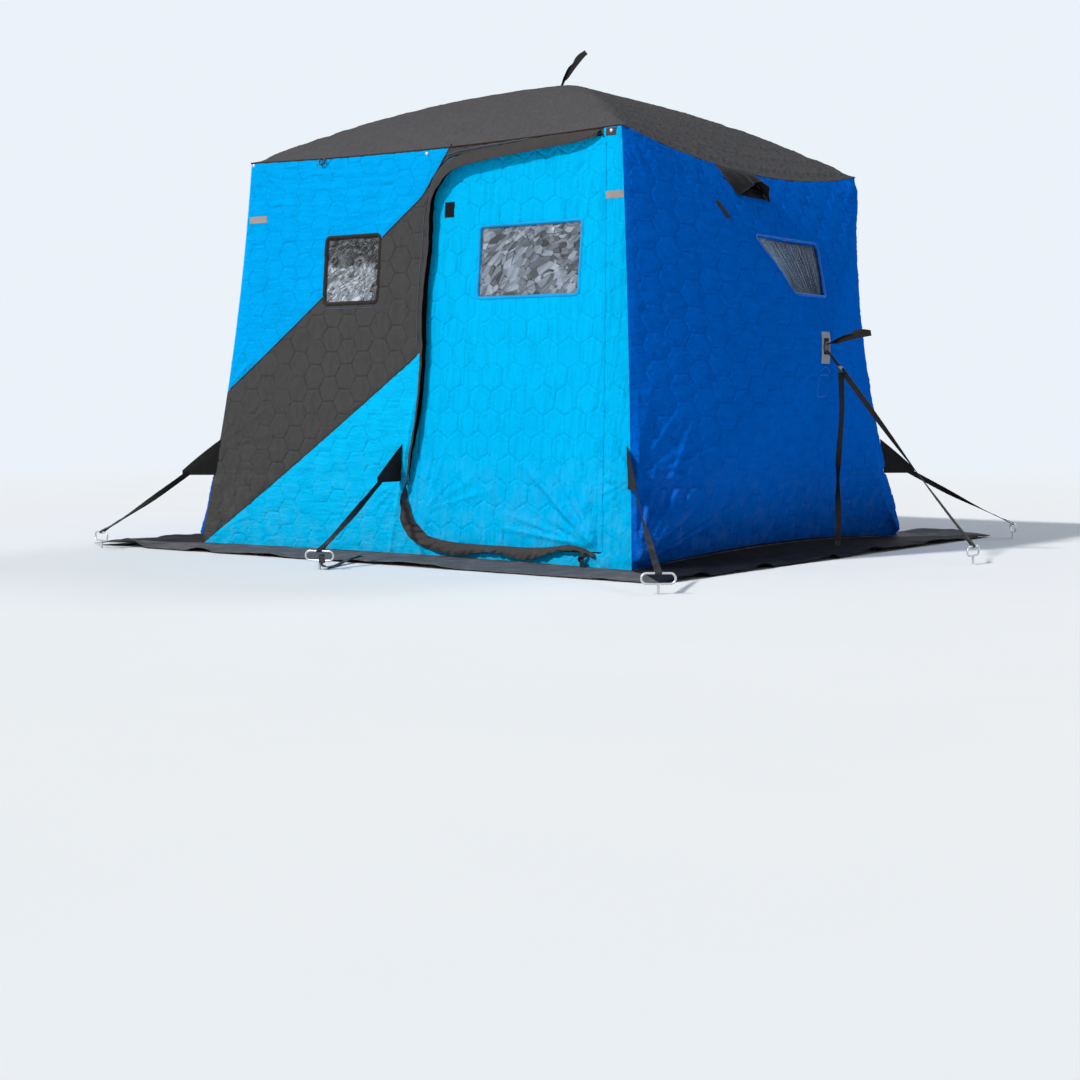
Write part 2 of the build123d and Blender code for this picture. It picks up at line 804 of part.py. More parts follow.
def make_hub_guy(reach):
    """One hub guy facing +X: strap, buckle, hanging tail and anchor."""
    tip = Vector(hub_reach + hub_cap_height, 0, hub_height - hub_guy_drop)
    out = Vector(1, 0, 0)
    strap, anchor = make_guy(tip, Vector(reach, 0), out)
    start, top = guy_line(tip, Vector(reach, 0), out)
    run = (top - start).normalized()
    buckle_at = start + run * buckle_distance
    plane = Plane(origin=buckle_at, x_dir=Vector(0, 1, 0), z_dir=run)
    width, height, depth = buckle_size
    buckle = plane * Box(width, depth, height)
    buckle = buckle - plane * Box(strap_width + 2 * seam_clearance, strap_thickness + 2 * seam_clearance, height)
    under = ((tail_offset - strap_thickness / 2) * -run.Z - depth / 2) / run.X - seam_clearance
    tail_height = buckle_at.Z + under - tail_foot
    tail = Pos(buckle_at.X - tail_offset, 0, tail_foot) * Box(
        strap_thickness, strap_width, tail_height, align=(Align.CENTER, Align.CENTER, Align.MIN))
    return strap, main_solid(buckle), tail.solid(), anchor, make_pull_loop()


def make_hub_guys():
    """Guys of the three side hubs, the rear one with its own reach."""
    side = make_hub_guy(hub_anchor_reach)
    rear = make_hub_guy(rear_anchor_reach())
    names = ("hub_guy_straps", "hub_guy_buckles", "hub_guy_tails", "hub_anchors", "hub_pull_loops")
    for name, right, back in zip(names, side, rear):
        color = steel if name == "hub_anchors" else black
        add_part(name, Compound([right, right.mirror(Plane.YZ), back.rotate(Axis.Z, 90)]), color)


def webbing_along(path, out):
    """Doubled webbing swept along an arc, seated just clear of the cap it leaves."""
    plane = Plane(origin=path @ 0, x_dir=Vector(0, 1, 0), z_dir=path % 0)
    band = sweep(plane * Rectangle(strap_width, 2 * strap_thickness), path=path).solid()
    across = math.sqrt(1 - (path % 0).dot(out) ** 2)
    return Pos(*(out * (seam_clearance + strap_thickness * across))) * band


def make_pull_loop():
    """Webbing handle sewn to a side hub, used to pull the hub out."""
    start = Vector(hub_reach + hub_cap_height, 0, hub_height + hub_loop_lift)
    end = start + Vector(pull_loop_length, 0, pull_loop_rise)
    path = bowed(start, end, Vector(0, 0, pull_loop_arch))
    return webbing_along(path, Vector(1, 0, 0))


def make_roof_loop():
    """Webbing handle on top of the roof hub."""
    start = Vector(0, 0, roof_peak + hub_cap_height)
    end = start + Vector(roof_loop_lean, 0, roof_loop_height - hub_cap_height)
    path = bowed(start, end, roof_loop_arch)
    add_part("roof_pull_loop", webbing_along(path, Vector(0, 0, 1)), black)


make_front_wall()
make_door()
make_side_walls()
make_roof()
make_skirts()
make_poles_and_hubs()
make_guys()
make_hub_guys()
make_roof_loop()

os.makedirs("parts", exist_ok=True)
for name, shape in parts.items():
    export_step(shape, "parts/" + name + ".step")
print(len(parts), "parts")
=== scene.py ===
import sys
import logging
import math
from dataclasses import dataclass, field
from enum import Enum
from functools import cache
from typing import Optional, Sequence

import bpy
import numpy as np
from mathutils import Matrix, Vector, noise
from mathutils.bvhtree import BVHTree
from mathutils.geometry import delaunay_2d_cdt


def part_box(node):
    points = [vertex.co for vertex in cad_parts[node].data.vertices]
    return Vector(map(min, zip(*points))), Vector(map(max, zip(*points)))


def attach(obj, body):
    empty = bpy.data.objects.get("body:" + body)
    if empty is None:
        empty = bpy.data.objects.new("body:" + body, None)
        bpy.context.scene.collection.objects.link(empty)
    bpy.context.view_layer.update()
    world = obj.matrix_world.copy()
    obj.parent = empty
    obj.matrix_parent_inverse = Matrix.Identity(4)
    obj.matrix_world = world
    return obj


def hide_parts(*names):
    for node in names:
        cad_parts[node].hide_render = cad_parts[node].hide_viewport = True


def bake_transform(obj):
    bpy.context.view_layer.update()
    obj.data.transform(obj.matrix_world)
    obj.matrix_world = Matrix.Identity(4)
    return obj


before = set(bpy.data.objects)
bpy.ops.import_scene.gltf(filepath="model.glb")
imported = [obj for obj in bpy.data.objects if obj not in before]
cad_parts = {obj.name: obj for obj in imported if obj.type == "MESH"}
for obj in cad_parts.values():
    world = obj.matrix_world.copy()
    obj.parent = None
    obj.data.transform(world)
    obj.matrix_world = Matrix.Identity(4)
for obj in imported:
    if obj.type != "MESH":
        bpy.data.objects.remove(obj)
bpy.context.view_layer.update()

log = logging.getLogger("shelter")
Points = np.ndarray
Pair = tuple[float, float]
Colour = tuple[float, float, float]


# Lines and outlines of the cloth patterns

def bowed(start: Sequence[float], end: Sequence[float], bow: Sequence[float], steps: int) -> Points:
    """Points along a shallow arc.

    Args:
        start: First point.
        end: Last point.
        bow: How far the middle is moved off the straight line.
        steps: Number of runs.

    Returns:
        steps + 1 points, with as many coordinates as start has.
    """
    t = np.linspace(0.0, 1.0, steps + 1)[:, None]
    return np.array(start) * (1 - t) + np.array(end) * t + 4 * t * (1 - t) * np.array(bow)


def ramp(values: Points, low: float, high: float) -> Points:
    """Smooth step from 0 at low to 1 at high."""
    t = np.clip((values - low) / (high - low), 0.0, 1.0)
    return t * t * (3 - 2 * t)


def moved_out(corners: Sequence[Pair], amount: float) -> list[Pair]:
    """Corners of a counter-clockwise outline after its sides move outwards.

    Args:
        corners: Corners of the outline.
        amount: Distance, negative to shrink the outline.

    Returns:
        The new corners in the same order.
    """
    pts = np.array(corners, float)
    result = []
    for i in range(len(pts)):
        before = pts[i] - pts[i - 1]
        after = pts[(i + 1) % len(pts)] - pts[i]
        n1 = np.array((before[1], -before[0])) / np.linalg.norm(before)
        n2 = np.array((after[1], -after[0])) / np.linalg.norm(after)
        both = n1 + n2
        result.append(tuple(pts[i] + both * amount * 2 / (both @ both)))
    return result


def rounded(corners: Sequence[Pair], radii: Sequence[float], step: float = 0.012) -> Points:
    """Closed outline with rounded corners and evenly divided sides.

    Args:
        corners: Corners in order.
        radii: One radius for each corner.
        step: Longest run.

    Returns:
        The outline's points, without a repeated last one.
    """
    pts = np.array(corners, float)
    line = []
    for i, radius in enumerate(radii):
        here, before, after = pts[i], pts[i - 1], pts[(i + 1) % len(pts)]
        a = (before - here) / np.linalg.norm(before - here)
        b = (after - here) / np.linalg.norm(after - here)
        if radius <= 0:
            line.append(here)
            continue
        half = math.acos(float(np.clip(a @ b, -1, 1))) / 2
        centre = here + (a + b) / np.linalg.norm(a + b) * radius / math.sin(half)
        first = here + a * radius / math.tan(half) - centre
        last = here + b * radius / math.tan(half) - centre
        sweep = math.pi - 2 * half
        turn = np.sign(first[0] * last[1] - first[1] * last[0])
        for share in np.linspace(0, 1, max(3, int(radius * sweep / step) + 1)):
            c, s = math.cos(turn * sweep * share), math.sin(turn * sweep * share)
            line.append(centre + np.array((first[0] * c - first[1] * s, first[0] * s + first[1] * c)))
    return divided(np.array(line), step, True)


def divided(line: Points, step: float, closed: bool = False) -> Points:
    """Line with every run cut into parts no longer than step.

    Args:
        line: Points of the line, in order.
        step: Longest part allowed, in metres.
        closed: Whether the last point joins the first.

    Returns:
        The points of the divided line.
    """
    ends = np.roll(line, -1, 0) if closed else line[1:]
    result = []
    for a, b in zip(line, ends):
        count = max(1, math.ceil(float(np.linalg.norm(b - a)) / step))
        result.extend(a + (b - a) * k / count for k in range(count))
    if not closed:
        result.append(line[-1])
    return np.array(result)


def runs_of(loops: Sequence[Points], closed: bool = True) -> tuple[Points, Points]:
    """Start and end points of all the runs of some lines.

    Args:
        loops: The lines.
        closed: Whether each line's last point joins its first.

    Returns:
        Start points and end points of the runs.
    """
    starts = np.concatenate([loop if closed else loop[:-1] for loop in loops])
    ends = np.concatenate([np.roll(loop, -1, 0) if closed else loop[1:] for loop in loops])
    return starts, ends


def is_inside(points: Points, starts: Points, ends: Points) -> Points:
    """True for points inside an outline and outside its holes, by counting crossings.

    Args:
        points: Points to test.
        starts: Start points of the outline's runs, holes among them.
        ends: End points of the same runs.

    Returns:
        One truth value for each point.
    """
    odd = np.zeros(len(points), bool)
    for (ax, ay), (bx, by) in zip(starts, ends):
        if ay == by:
            continue
        spans = (ay > points[:, 1]) != (by > points[:, 1])
        odd ^= spans & (points[:, 0] < (bx - ax) * (points[:, 1] - ay) / (by - ay) + ax)
    return odd


def nearest_run(points: Points, starts: Points, ends: Points) -> tuple[Points, Points]:
    """Distance of each point from the nearest run, and that run's direction.

    Args:
        points: Points to measure from.
        starts: Start points of the runs.
        ends: End points of the runs.

    Returns:
        The distances and the unit directions.
    """
    best = np.full(len(points), np.inf)
    which = np.zeros(len(points), int)
    for k, (a, b) in enumerate(zip(starts, ends)):
        run = b - a
        t = np.clip(((points - a) @ run) / max(float(run @ run), 1e-12), 0, 1)
        gap = points - a - t[:, None] * run
        square = np.einsum("ij,ij->i", gap, gap)
        nearer = square < best
        best[nearer], which[nearer] = square[nearer], k
    runs = ends - starts
    runs = runs / np.maximum(np.linalg.norm(runs, axis=1, keepdims=True), 1e-12)
    return np.sqrt(best), runs[which]


def distance_to(points: Points, starts: Points, ends: Points) -> Points:
    """Distance of each point from the nearest run."""
    return nearest_run(points, starts, ends)[0]


def through(stations: Points, count: int) -> Points:
    """Smooth line of count points through some stations, evenly divided by station.

    Args:
        stations: Points that the line goes through.
        count: How many points the line gets.

    Returns:
        The points of the line.
    """
    stations = np.asarray(stations, float)
    t = np.linspace(0, len(stations) - 1, count)
    k = np.clip(t.astype(int), 0, len(stations) - 2)
    f = (t - k)[:, None]
    padded = np.concatenate([2 * stations[:1] - stations[1:2], stations, 2 * stations[-1:] - stations[-2:-1]])
    a, b, c, d = padded[k], padded[k + 1], padded[k + 2], padded[k + 3]
    return 0.5 * (2 * b + (c - a) * f + (2 * a - 5 * b + 4 * c - d) * f ** 2 + (3 * b - a - 3 * c + d) * f ** 3)


def drift(flat: Points) -> Points:
    """Small unevenness of the sewing: how far each pattern point strays."""
    return np.array([(0.005 * noise.noise(Vector((a * 3.3, b * 3.3, 5.5))),
                      0.005 * noise.noise(Vector((a * 3.3, b * 3.3, 15.5)))) for a, b in flat])


class Facing(Enum):
    """Where a flat pattern faces once it is sewn in: its lift, width and height directions."""

    RIGHT = ((1, 0, 0), (0, 1, 0), (0, 0, 1))
    FRONT = ((0, -1, 0), (1, 0, 0), (0, 0, 1))
    BACK = ((0, 1, 0), (-1, 0, 0), (0, 0, 1))
    UP = ((0, 0, 1), (1, 0, 0), (0, 1, 0))

    def place(self, lift: Points, flat: Points) -> Points:
        """Points of the row frame for a pattern's points and their lifts."""
        axes = np.array(self.value, float)
        return lift[:, None] * axes[0] + flat[:, :1] * axes[1] + flat[:, 1:2] * axes[2]


class Surface:
    """Outer face of some CAD nodes or finished pieces, found with rays against a facing."""

    REACH = 4.0
    TRIES = [(0.0, 0.0)] + [(0.0006 * 2 ** k, math.pi * j / 6) for k in range(8) for j in range(12)]

    def __init__(self, facing: Facing, *names: str) -> None:
        """Collects the triangles.

        Args:
            facing: The way the face looks.
            names: Names of CAD nodes or of finished pieces.
        """
        self.facing = facing
        verts: list[Vector] = []
        faces: list[list[int]] = []
        for name in names:
            mesh = (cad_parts[name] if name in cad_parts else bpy.data.objects[name]).data
            start = len(verts)
            verts.extend(v.co.copy() for v in mesh.vertices)
            faces.extend([start + i for i in p.vertices] for p in mesh.polygons)
        self.tree = BVHTree.FromPolygons(verts, faces)

    def lift(self, flat: Points) -> Points:
        """Lift of the surface over each pattern point, from close by where a ray misses.

        Args:
            flat: Pattern points.

        Returns:
            One lift for each point.
        """
        axes = [Vector(a) for a in self.facing.value]
        lifts = np.zeros(len(flat))
        for i, (a, b) in enumerate(flat):
            for reach, angle in self.TRIES:
                origin = axes[0] * self.REACH + axes[1] * float(a + reach * math.cos(angle))
                origin += axes[2] * float(b + reach * math.sin(angle))
                hit = self.tree.ray_cast(origin, -axes[0])[0]
                if hit is not None:
                    lifts[i] = hit.dot(axes[0])
                    break
        return lifts


# Meshes

def make_object(name: str, verts: Points, faces: list, uv: Optional[Points] = None,
                sharp: float = 50.0) -> bpy.types.Object:
    """Smooth mesh object in the row frame.

    Args:
        name: Name of the piece.
        verts: Vertex places in metres.
        faces: Vertex indices of each face.
        uv: One pair for each vertex.
        sharp: Angle in degrees above which an edge stays sharp.

    Returns:
        The linked object.
    """
    mesh = bpy.data.meshes.new(name)
    mesh.from_pydata([tuple(v) for v in np.asarray(verts, float)], [], [list(map(int, f)) for f in faces])
    mesh.validate()
    if uv is not None:
        layer = mesh.uv_layers.new(name="cloth")
        index = np.zeros(len(mesh.loops), np.int32)
        mesh.loops.foreach_get("vertex_index", index)
        layer.data.foreach_set("uv", np.asarray(uv, np.float32)[index].ravel())
    mesh.shade_smooth()
    mesh.set_sharp_from_angle(angle=math.radians(sharp))
    piece = bpy.data.objects.new(name, mesh)
    bpy.context.scene.collection.objects.link(piece)
    return piece


class Soup:
    """Several closed shapes gathered into one piece."""

    def __init__(self) -> None:
        """Starts empty."""
        self.verts: list[Points] = []
        self.faces: list[tuple] = []
        self.uv: list[Points] = []
        self.count = 0

    def add(self, verts: Points, faces: Sequence, uv: Optional[Points] = None) -> None:
        """Adds one shape.

        Args:
            verts: Vertices of the shape.
            faces: Its faces, counted from its own first vertex.
            uv: Layout of its vertices, where it has one.
        """
        verts = np.asarray(verts, float)
        self.faces.extend(tuple(int(i) + self.count for i in face) for face in faces)
        self.verts.append(verts)
        self.uv.append(verts[:, :2] if uv is None else np.asarray(uv, float))
        self.count += len(verts)

    def piece(self, name: str, sharp: float = 50.0) -> bpy.types.Object:
        """The gathered shapes as one object."""
        return make_object(name, np.concatenate(self.verts), self.faces, np.concatenate(self.uv), sharp)


def thick_grid(rows: Points, thickness: float, closed: bool = False) -> tuple[Points, list, Points]:
    """Closed sheet made from a grid of points on its outer face.

    Args:
        rows: Array of rows by columns by 3.
        thickness: Thickness, laid off against the grid's normals.
        closed: True where the last row joins the first.

    Returns:
        Vertices, faces and a measured flat layout of the sheet.
    """
    n, m = rows.shape[:2]
    if closed:
        along = np.roll(rows, -1, 0) - np.roll(rows, 1, 0)
    else:
        along = np.gradient(rows, axis=0)
    normal = np.cross(np.gradient(rows, axis=1), along)
    normal /= np.maximum(np.linalg.norm(normal, axis=2, keepdims=True), 1e-9)
    verts = np.concatenate([rows.reshape(-1, 3), (rows - normal * thickness).reshape(-1, 3)])
    u = np.concatenate([[0], np.cumsum(np.linalg.norm(np.diff(rows[:, m // 2], axis=0), axis=1))])
    v = np.concatenate([[0], np.cumsum(np.linalg.norm(np.diff(rows[n // 2], axis=0), axis=1))])
    uv = np.stack(np.meshgrid(u, v, indexing="ij"), -1).reshape(-1, 2)
    top = np.arange(n * m).reshape(n, m)
    outer, rims = [], []
    for i in range(n if closed else n - 1):
        a, b = top[i], top[(i + 1) % n]
        outer += [(a[j], a[j + 1], b[j + 1], b[j]) for j in range(m - 1)]
        rims += [(a[0], b[0], b[0] + n * m, a[0] + n * m), (a[-1] + n * m, b[-1] + n * m, b[-1], a[-1])]
    if not closed:
        for j in range(m - 1):
            a, b, c, d = top[0, j], top[0, j + 1], top[-1, j], top[-1, j + 1]
            rims += [(a + n * m, b + n * m, b, a), (c, d, d + n * m, c + n * m)]
    inner = [tuple(k + n * m for k in face[::-1]) for face in outer]
    return verts, outer + inner + rims, np.concatenate([uv, uv])


def ribbon(path: Points, normals: Points, width: float | Points, thickness: float,
           crown: float = 0.0, closed: bool = False, across: int = 4) -> tuple[Points, list, Points]:
    """Flat tape along a path.

    Args:
        path: Middle of the tape's outer face.
        normals: Which way the outer face looks, one for each point or one for all.
        width: Width, one for each point or one for all.
        thickness: Thickness of the tape.
        crown: How much higher the middle is than the edges.
        closed: True for a loop.
        across: Number of strips.

    Returns:
        Vertices, faces and layout, as thick_grid gives them.
    """
    normals = np.broadcast_to(np.asarray(normals, float), path.shape)
    if closed:
        along = np.roll(path, -1, 0) - np.roll(path, 1, 0)
    else:
        along = np.gradient(path, axis=0)
    side = np.cross(normals, along)
    side /= np.maximum(np.linalg.norm(side, axis=1, keepdims=True), 1e-9)
    up = np.cross(along, side)
    up /= np.maximum(np.linalg.norm(up, axis=1, keepdims=True), 1e-9)
    width = np.broadcast_to(np.asarray(width, float), (len(path),))
    share = np.linspace(1, -1, across + 1)
    rows = path[:, None] + side[:, None] * (share[None, :, None] * width[:, None, None] / 2)
    rows = rows + up[:, None] * (crown * (1 - share ** 2))[None, :, None]
    return thick_grid(rows, thickness, closed)


def tube(path: Points, radius: float, sides: int = 10, closed: bool = False) -> tuple[Points, list]:
    """Round bar along a path, with closed ends.

    Args:
        path: Middle line of the bar.
        radius: Radius of the bar.
        sides: Number of sides of its section.
        closed: Whether the path is a ring.

    Returns:
        Vertices and faces.
    """
    along = np.gradient(path, axis=0) if not closed else np.roll(path, -1, 0) - np.roll(path, 1, 0)
    along /= np.maximum(np.linalg.norm(along, axis=1, keepdims=True), 1e-9)
    side = np.cross(along[0], (0.3, 0.2, 0.93))
    verts = []
    for point, direction in zip(path, along):
        side = side - direction * (side @ direction)
        side /= np.linalg.norm(side)
        other = np.cross(direction, side)
        for k in range(sides):
            angle = 2 * math.pi * k / sides
            verts.append(point + radius * (side * math.cos(angle) + other * math.sin(angle)))
    n = len(path)
    faces = []
    for i in range(n if closed else n - 1):
        for k in range(sides):
            a, b = i * sides, ((i + 1) % n) * sides
            faces.append((a + k, a + (k + 1) % sides, b + (k + 1) % sides, b + k))
    if not closed:
        faces.append(tuple(range(sides))[::-1])
        faces.append(tuple((n - 1) * sides + k for k in range(sides)))
    return np.array(verts), faces


def turned(profile: Sequence[Pair], place: Sequence[float], axis: Sequence[float],
           sides: int = 20) -> tuple[Points, list]:
    """Round part from a profile of radius and height pairs.

    Args:
        profile: Radius and height, from the foot to the top, on the axis at both ends.
        place: Where height 0 lies.
        axis: The way up.
        sides: Divisions round the axis.

    Returns:
        Vertices and faces.
    """
    up = np.array(axis, float) / np.linalg.norm(axis)
    side = np.cross(up, (0.31, 0.87, 0.38))
    side /= np.linalg.norm(side)
    other = np.cross(up, side)
    verts = []
    for radius, height in profile:
        for k in range(sides):
            angle = 2 * math.pi * k / sides
            round_it = side * math.cos(angle) + other * math.sin(angle)
            verts.append(np.array(place) + up * height + round_it * max(radius, 1e-5))
    faces = []
    for i in range(len(profile) - 1):
        for k in range(sides):
            a, b = i * sides, (i + 1) * sides
            faces.append((a + k, a + (k + 1) % sides, b + (k + 1) % sides, b + k))
    return np.array(verts), faces


# Quilting, folds and sewn sheets

@dataclass(frozen=True)
class HexQuilt:
    """Six-sided quilting: the distance across a cell, its way up and its depth."""

    pitch: float = 0.113
    flat_top: bool = True
    depth: float = 0.0052
    shoulder: float = 0.045
    rings: tuple[float, ...] = (0.0, 0.0045, 0.013, 0.03)
    runs: tuple[int, ...] = (8, 8, 5, 2)

    def stitch_distance(self, flat: Points) -> Points:
        """Distance of each pattern point from the nearest quilting stitch.

        Args:
            flat: Pattern points.

        Returns:
            One distance for each point.
        """
        p = (flat[:, ::-1] if self.flat_top else flat) / self.pitch
        period = np.array((1.0, math.sqrt(3)))
        even = p - period * np.round(p / period)
        odd = p - period / 2 - period * np.round((p - period / 2) / period)
        nearer = (even ** 2).sum(1) < (odd ** 2).sum(1)
        g = np.abs(np.where(nearer[:, None], even, odd))
        reach = np.maximum(g[:, 0], g[:, 0] / 2 + g[:, 1] * math.sqrt(3) / 2)
        return (0.5 - reach) * self.pitch

    def height(self, flat: Points) -> Points:
        """Puffed height of each pattern point over the stitches.

        Args:
            flat: Pattern points.

        Returns:
            One height for each point.
        """
        edge = self.stitch_distance(flat)
        dome = np.sin(np.clip(edge / self.shoulder, 0, 1) * math.pi / 2)
        return self.depth * (0.6 * (1 - np.exp(-edge / 0.0045)) + 0.4 * dome)

    def points(self, low: Points, high: Points) -> Points:
        """Pattern points that follow the stitches and cells between two corners.

        Args:
            low: Lower corner of the area.
            high: Upper corner of the area.

        Returns:
            The points, each one once.
        """
        cell = []
        for inset, count in zip(self.rings, self.runs):
            radius = (self.pitch / 2 - inset) * 2 / math.sqrt(3)
            angles = np.radians(30 + 60 * np.arange(7))
            corners = radius * np.stack([np.cos(angles), np.sin(angles)], 1)
            for a, b in zip(corners[:-1], corners[1:]):
                cell.extend(a + (b - a) * k / count for k in range(count))
        cell.append(np.zeros(2))
        cell_points = np.array(cell)
        if self.flat_top:
            low, high = low[::-1], high[::-1]
        step = np.array((self.pitch, self.pitch * math.sqrt(3)))
        centres = []
        for offset in (0.0, 0.5):
            first = np.floor(low / step - offset).astype(int) - 1
            last = np.ceil(high / step - offset).astype(int) + 1
            for i in range(first[0], last[0] + 1):
                for j in range(first[1], last[1] + 1):
                    centres.append((np.array((i, j)) + offset) * step)
        flat = (np.array(centres)[:, None] + cell_points[None]).reshape(-1, 2)
        if self.flat_top:
            flat = flat[:, ::-1]
        return np.unique(np.round(flat, 4), axis=0)


@dataclass(frozen=True)
class Fold:
    """A crease in the cloth between two points of its pattern."""

    start: Pair
    end: Pair
    height: float
    width: float

    def lift(self, flat: Points) -> Points:
        """Height of the crease at each pattern point.

        Args:
            flat: Pattern points.

        Returns:
            One height for each point.
        """
        a, b = np.array(self.start), np.array(self.end)
        t = np.clip(((flat - a) @ (b - a)) / ((b - a) @ (b - a)), 0, 1)
        gap = np.linalg.norm(flat - a - t[:, None] * (b - a), axis=1)
        return self.height * np.exp(-(gap / self.width) ** 2) * np.sin(math.pi * (0.08 + 0.84 * t)) ** 0.8


def fan(corner: Pair, first: float, last: float, count: int, length: float, height: float,
        width: float, seed: int) -> list[Fold]:
    """Creases that spread from a strained corner.

    Args:
        corner: Where they start.
        first: Angle of the first one, in degrees.
        last: Angle of the last one.
        count: How many there are.
        length: Typical length.
        height: Typical height.
        width: Typical width.
        seed: Seed of the uneven lengths.

    Returns:
        The creases.
    """
    rng = np.random.default_rng(seed)
    folds = []
    for angle in np.linspace(first, last, count):
        turn = math.radians(angle + rng.uniform(-5, 5))
        reach = length * rng.uniform(0.55, 1.15)
        start = (corner[0] + 0.03 * math.cos(turn), corner[1] + 0.03 * math.sin(turn))
        end = (corner[0] + reach * math.cos(turn), corner[1] + reach * math.sin(turn))
        folds.append(Fold(start, end, height * rng.uniform(0.5, 1.2), width * rng.uniform(0.7, 1.3)))
    return folds


def triangulated(points: Points, runs: Sequence[tuple[int, int]]) -> tuple[Points, Points]:
    """Triangles over some flat points that keep the given runs as edges.

    Args:
        points: Flat points.
        runs: Pairs of point numbers that stay edges.

    Returns:
        Vertices and triangles.
    """
    found = delaunay_2d_cdt([Vector(p) for p in points.tolist()], list(runs), [], 0, 1e-6, False)
    verts = np.array([tuple(v) for v in found[0]])
    tris = np.array(found[2])
    a, b, c = verts[tris[:, 0]], verts[tris[:, 1]], verts[tris[:, 2]]
    area = (b[:, 0] - a[:, 0]) * (c[:, 1] - a[:, 1]) - (b[:, 1] - a[:, 1]) * (c[:, 0] - a[:, 0])
    tris = tris[np.abs(area) > 1e-10]
    area = area[np.abs(area) > 1e-10]
    tris[area < 0] = tris[area < 0][:, ::-1]
    return verts, tris


def border_runs(tris: Points) -> Points:
    """Directed edges that belong to one triangle only.

    Args:
        tris: Triangles as vertex numbers.

    Returns:
        One pair of vertex numbers for each edge.
    """
    edges = np.concatenate([tris[:, [0, 1]], tris[:, [1, 2]], tris[:, [2, 0]]])
    keys = {(int(a), int(b)) for a, b in edges}
    return np.array([(a, b) for a, b in keys if (b, a) not in keys])


@dataclass
class Pattern:
    """Flat cut of cloth: its outline, holes, inner seams and quilting."""

    outline: Points
    holes: list[Points] = field(default_factory=list)
    seams: list[Points] = field(default_factory=list)
    quilt: HexQuilt = HexQuilt()
    folds: list[Fold] = field(default_factory=list)

    def beside_folds(self) -> tuple[Points, Points, Points]:
        """Points that follow the creases, and the start and end points of the lines they lie on."""
        starts, ends, found = [], [], []
        for fold in self.folds:
            a, b = np.array(fold.start), np.array(fold.end)
            away = np.array((a[1] - b[1], b[0] - a[0])) / np.linalg.norm(b - a)
            for share in (-2.0, -1.25, -0.6, 0.0, 0.6, 1.25, 2.0):
                line = np.array((a, b)) + away * share * fold.width
                starts.append(line[0])
                ends.append(line[1])
                found.append(divided(line, 0.014))
        points = np.concatenate(found)
        first = np.unique(np.round(points / 0.005), axis=0, return_index=True)[1]
        return points[np.sort(first)], np.array(starts), np.array(ends)

    def cut(self) -> tuple[Points, Points]:
        """Flat vertices and triangles of the whole cut."""
        loops = [self.outline, *self.holes]
        lines = [divided(np.array(seam, float), 0.014) for seam in self.seams]
        points = list(np.concatenate(loops))
        runs = []
        start = 0
        for loop in loops:
            runs += [(start + k, start + (k + 1) % len(loop)) for k in range(len(loop))]
            start += len(loop)
        for line in lines:
            points.extend(line)
            runs += [(start + k, start + k + 1) for k in range(len(line) - 1)]
            start += len(line)
        loop_runs = runs_of(loops)
        inner = self.quilt.points(self.outline.min(0), self.outline.max(0))
        inner = inner + drift(inner)
        if self.folds:
            beside, starts, ends = self.beside_folds()
            inner = np.concatenate([inner[distance_to(inner, starts, ends) > 0.003], beside])
        inner = inner[is_inside(inner, *loop_runs)]
        inner = inner[distance_to(inner, *loop_runs) > 0.0045]
        if lines:
            inner = inner[distance_to(inner, *runs_of(lines, False)) > 0.0045]
        points = np.concatenate([np.array(points), inner])
        verts, tris = triangulated(points, runs)
        return verts, tris[is_inside(verts[tris].mean(1), *loop_runs)]


def neighbour_mean(values: Points, edges: Points) -> Points:
    """Mean of each vertex's neighbours.

    Args:
        values: One row of values for each vertex.
        edges: Pairs of vertex numbers.

    Returns:
        One row for each vertex.
    """
    total = np.zeros_like(values)
    count = np.zeros(len(values))
    for a, b in ((0, 1), (1, 0)):
        np.add.at(total, edges[:, a], values[edges[:, b]])
        np.add.at(count, edges[:, a], 1)
    return total / np.maximum(count, 1)[:, None]


def vertex_normals(verts: Points, tris: Points) -> Points:
    """Area-weighted normals of a triangle mesh.

    Args:
        verts: Places of the vertices.
        tris: Triangles as vertex numbers.

    Returns:
        One unit normal for each vertex.
    """
    a, b, c = verts[tris[:, 0]], verts[tris[:, 1]], verts[tris[:, 2]]
    face = np.cross(b - a, c - a)
    normals = np.zeros_like(verts)
    for k in range(3):
        np.add.at(normals, tris[:, k], face)
    return normals / np.maximum(np.linalg.norm(normals, axis=1, keepdims=True), 1e-12)


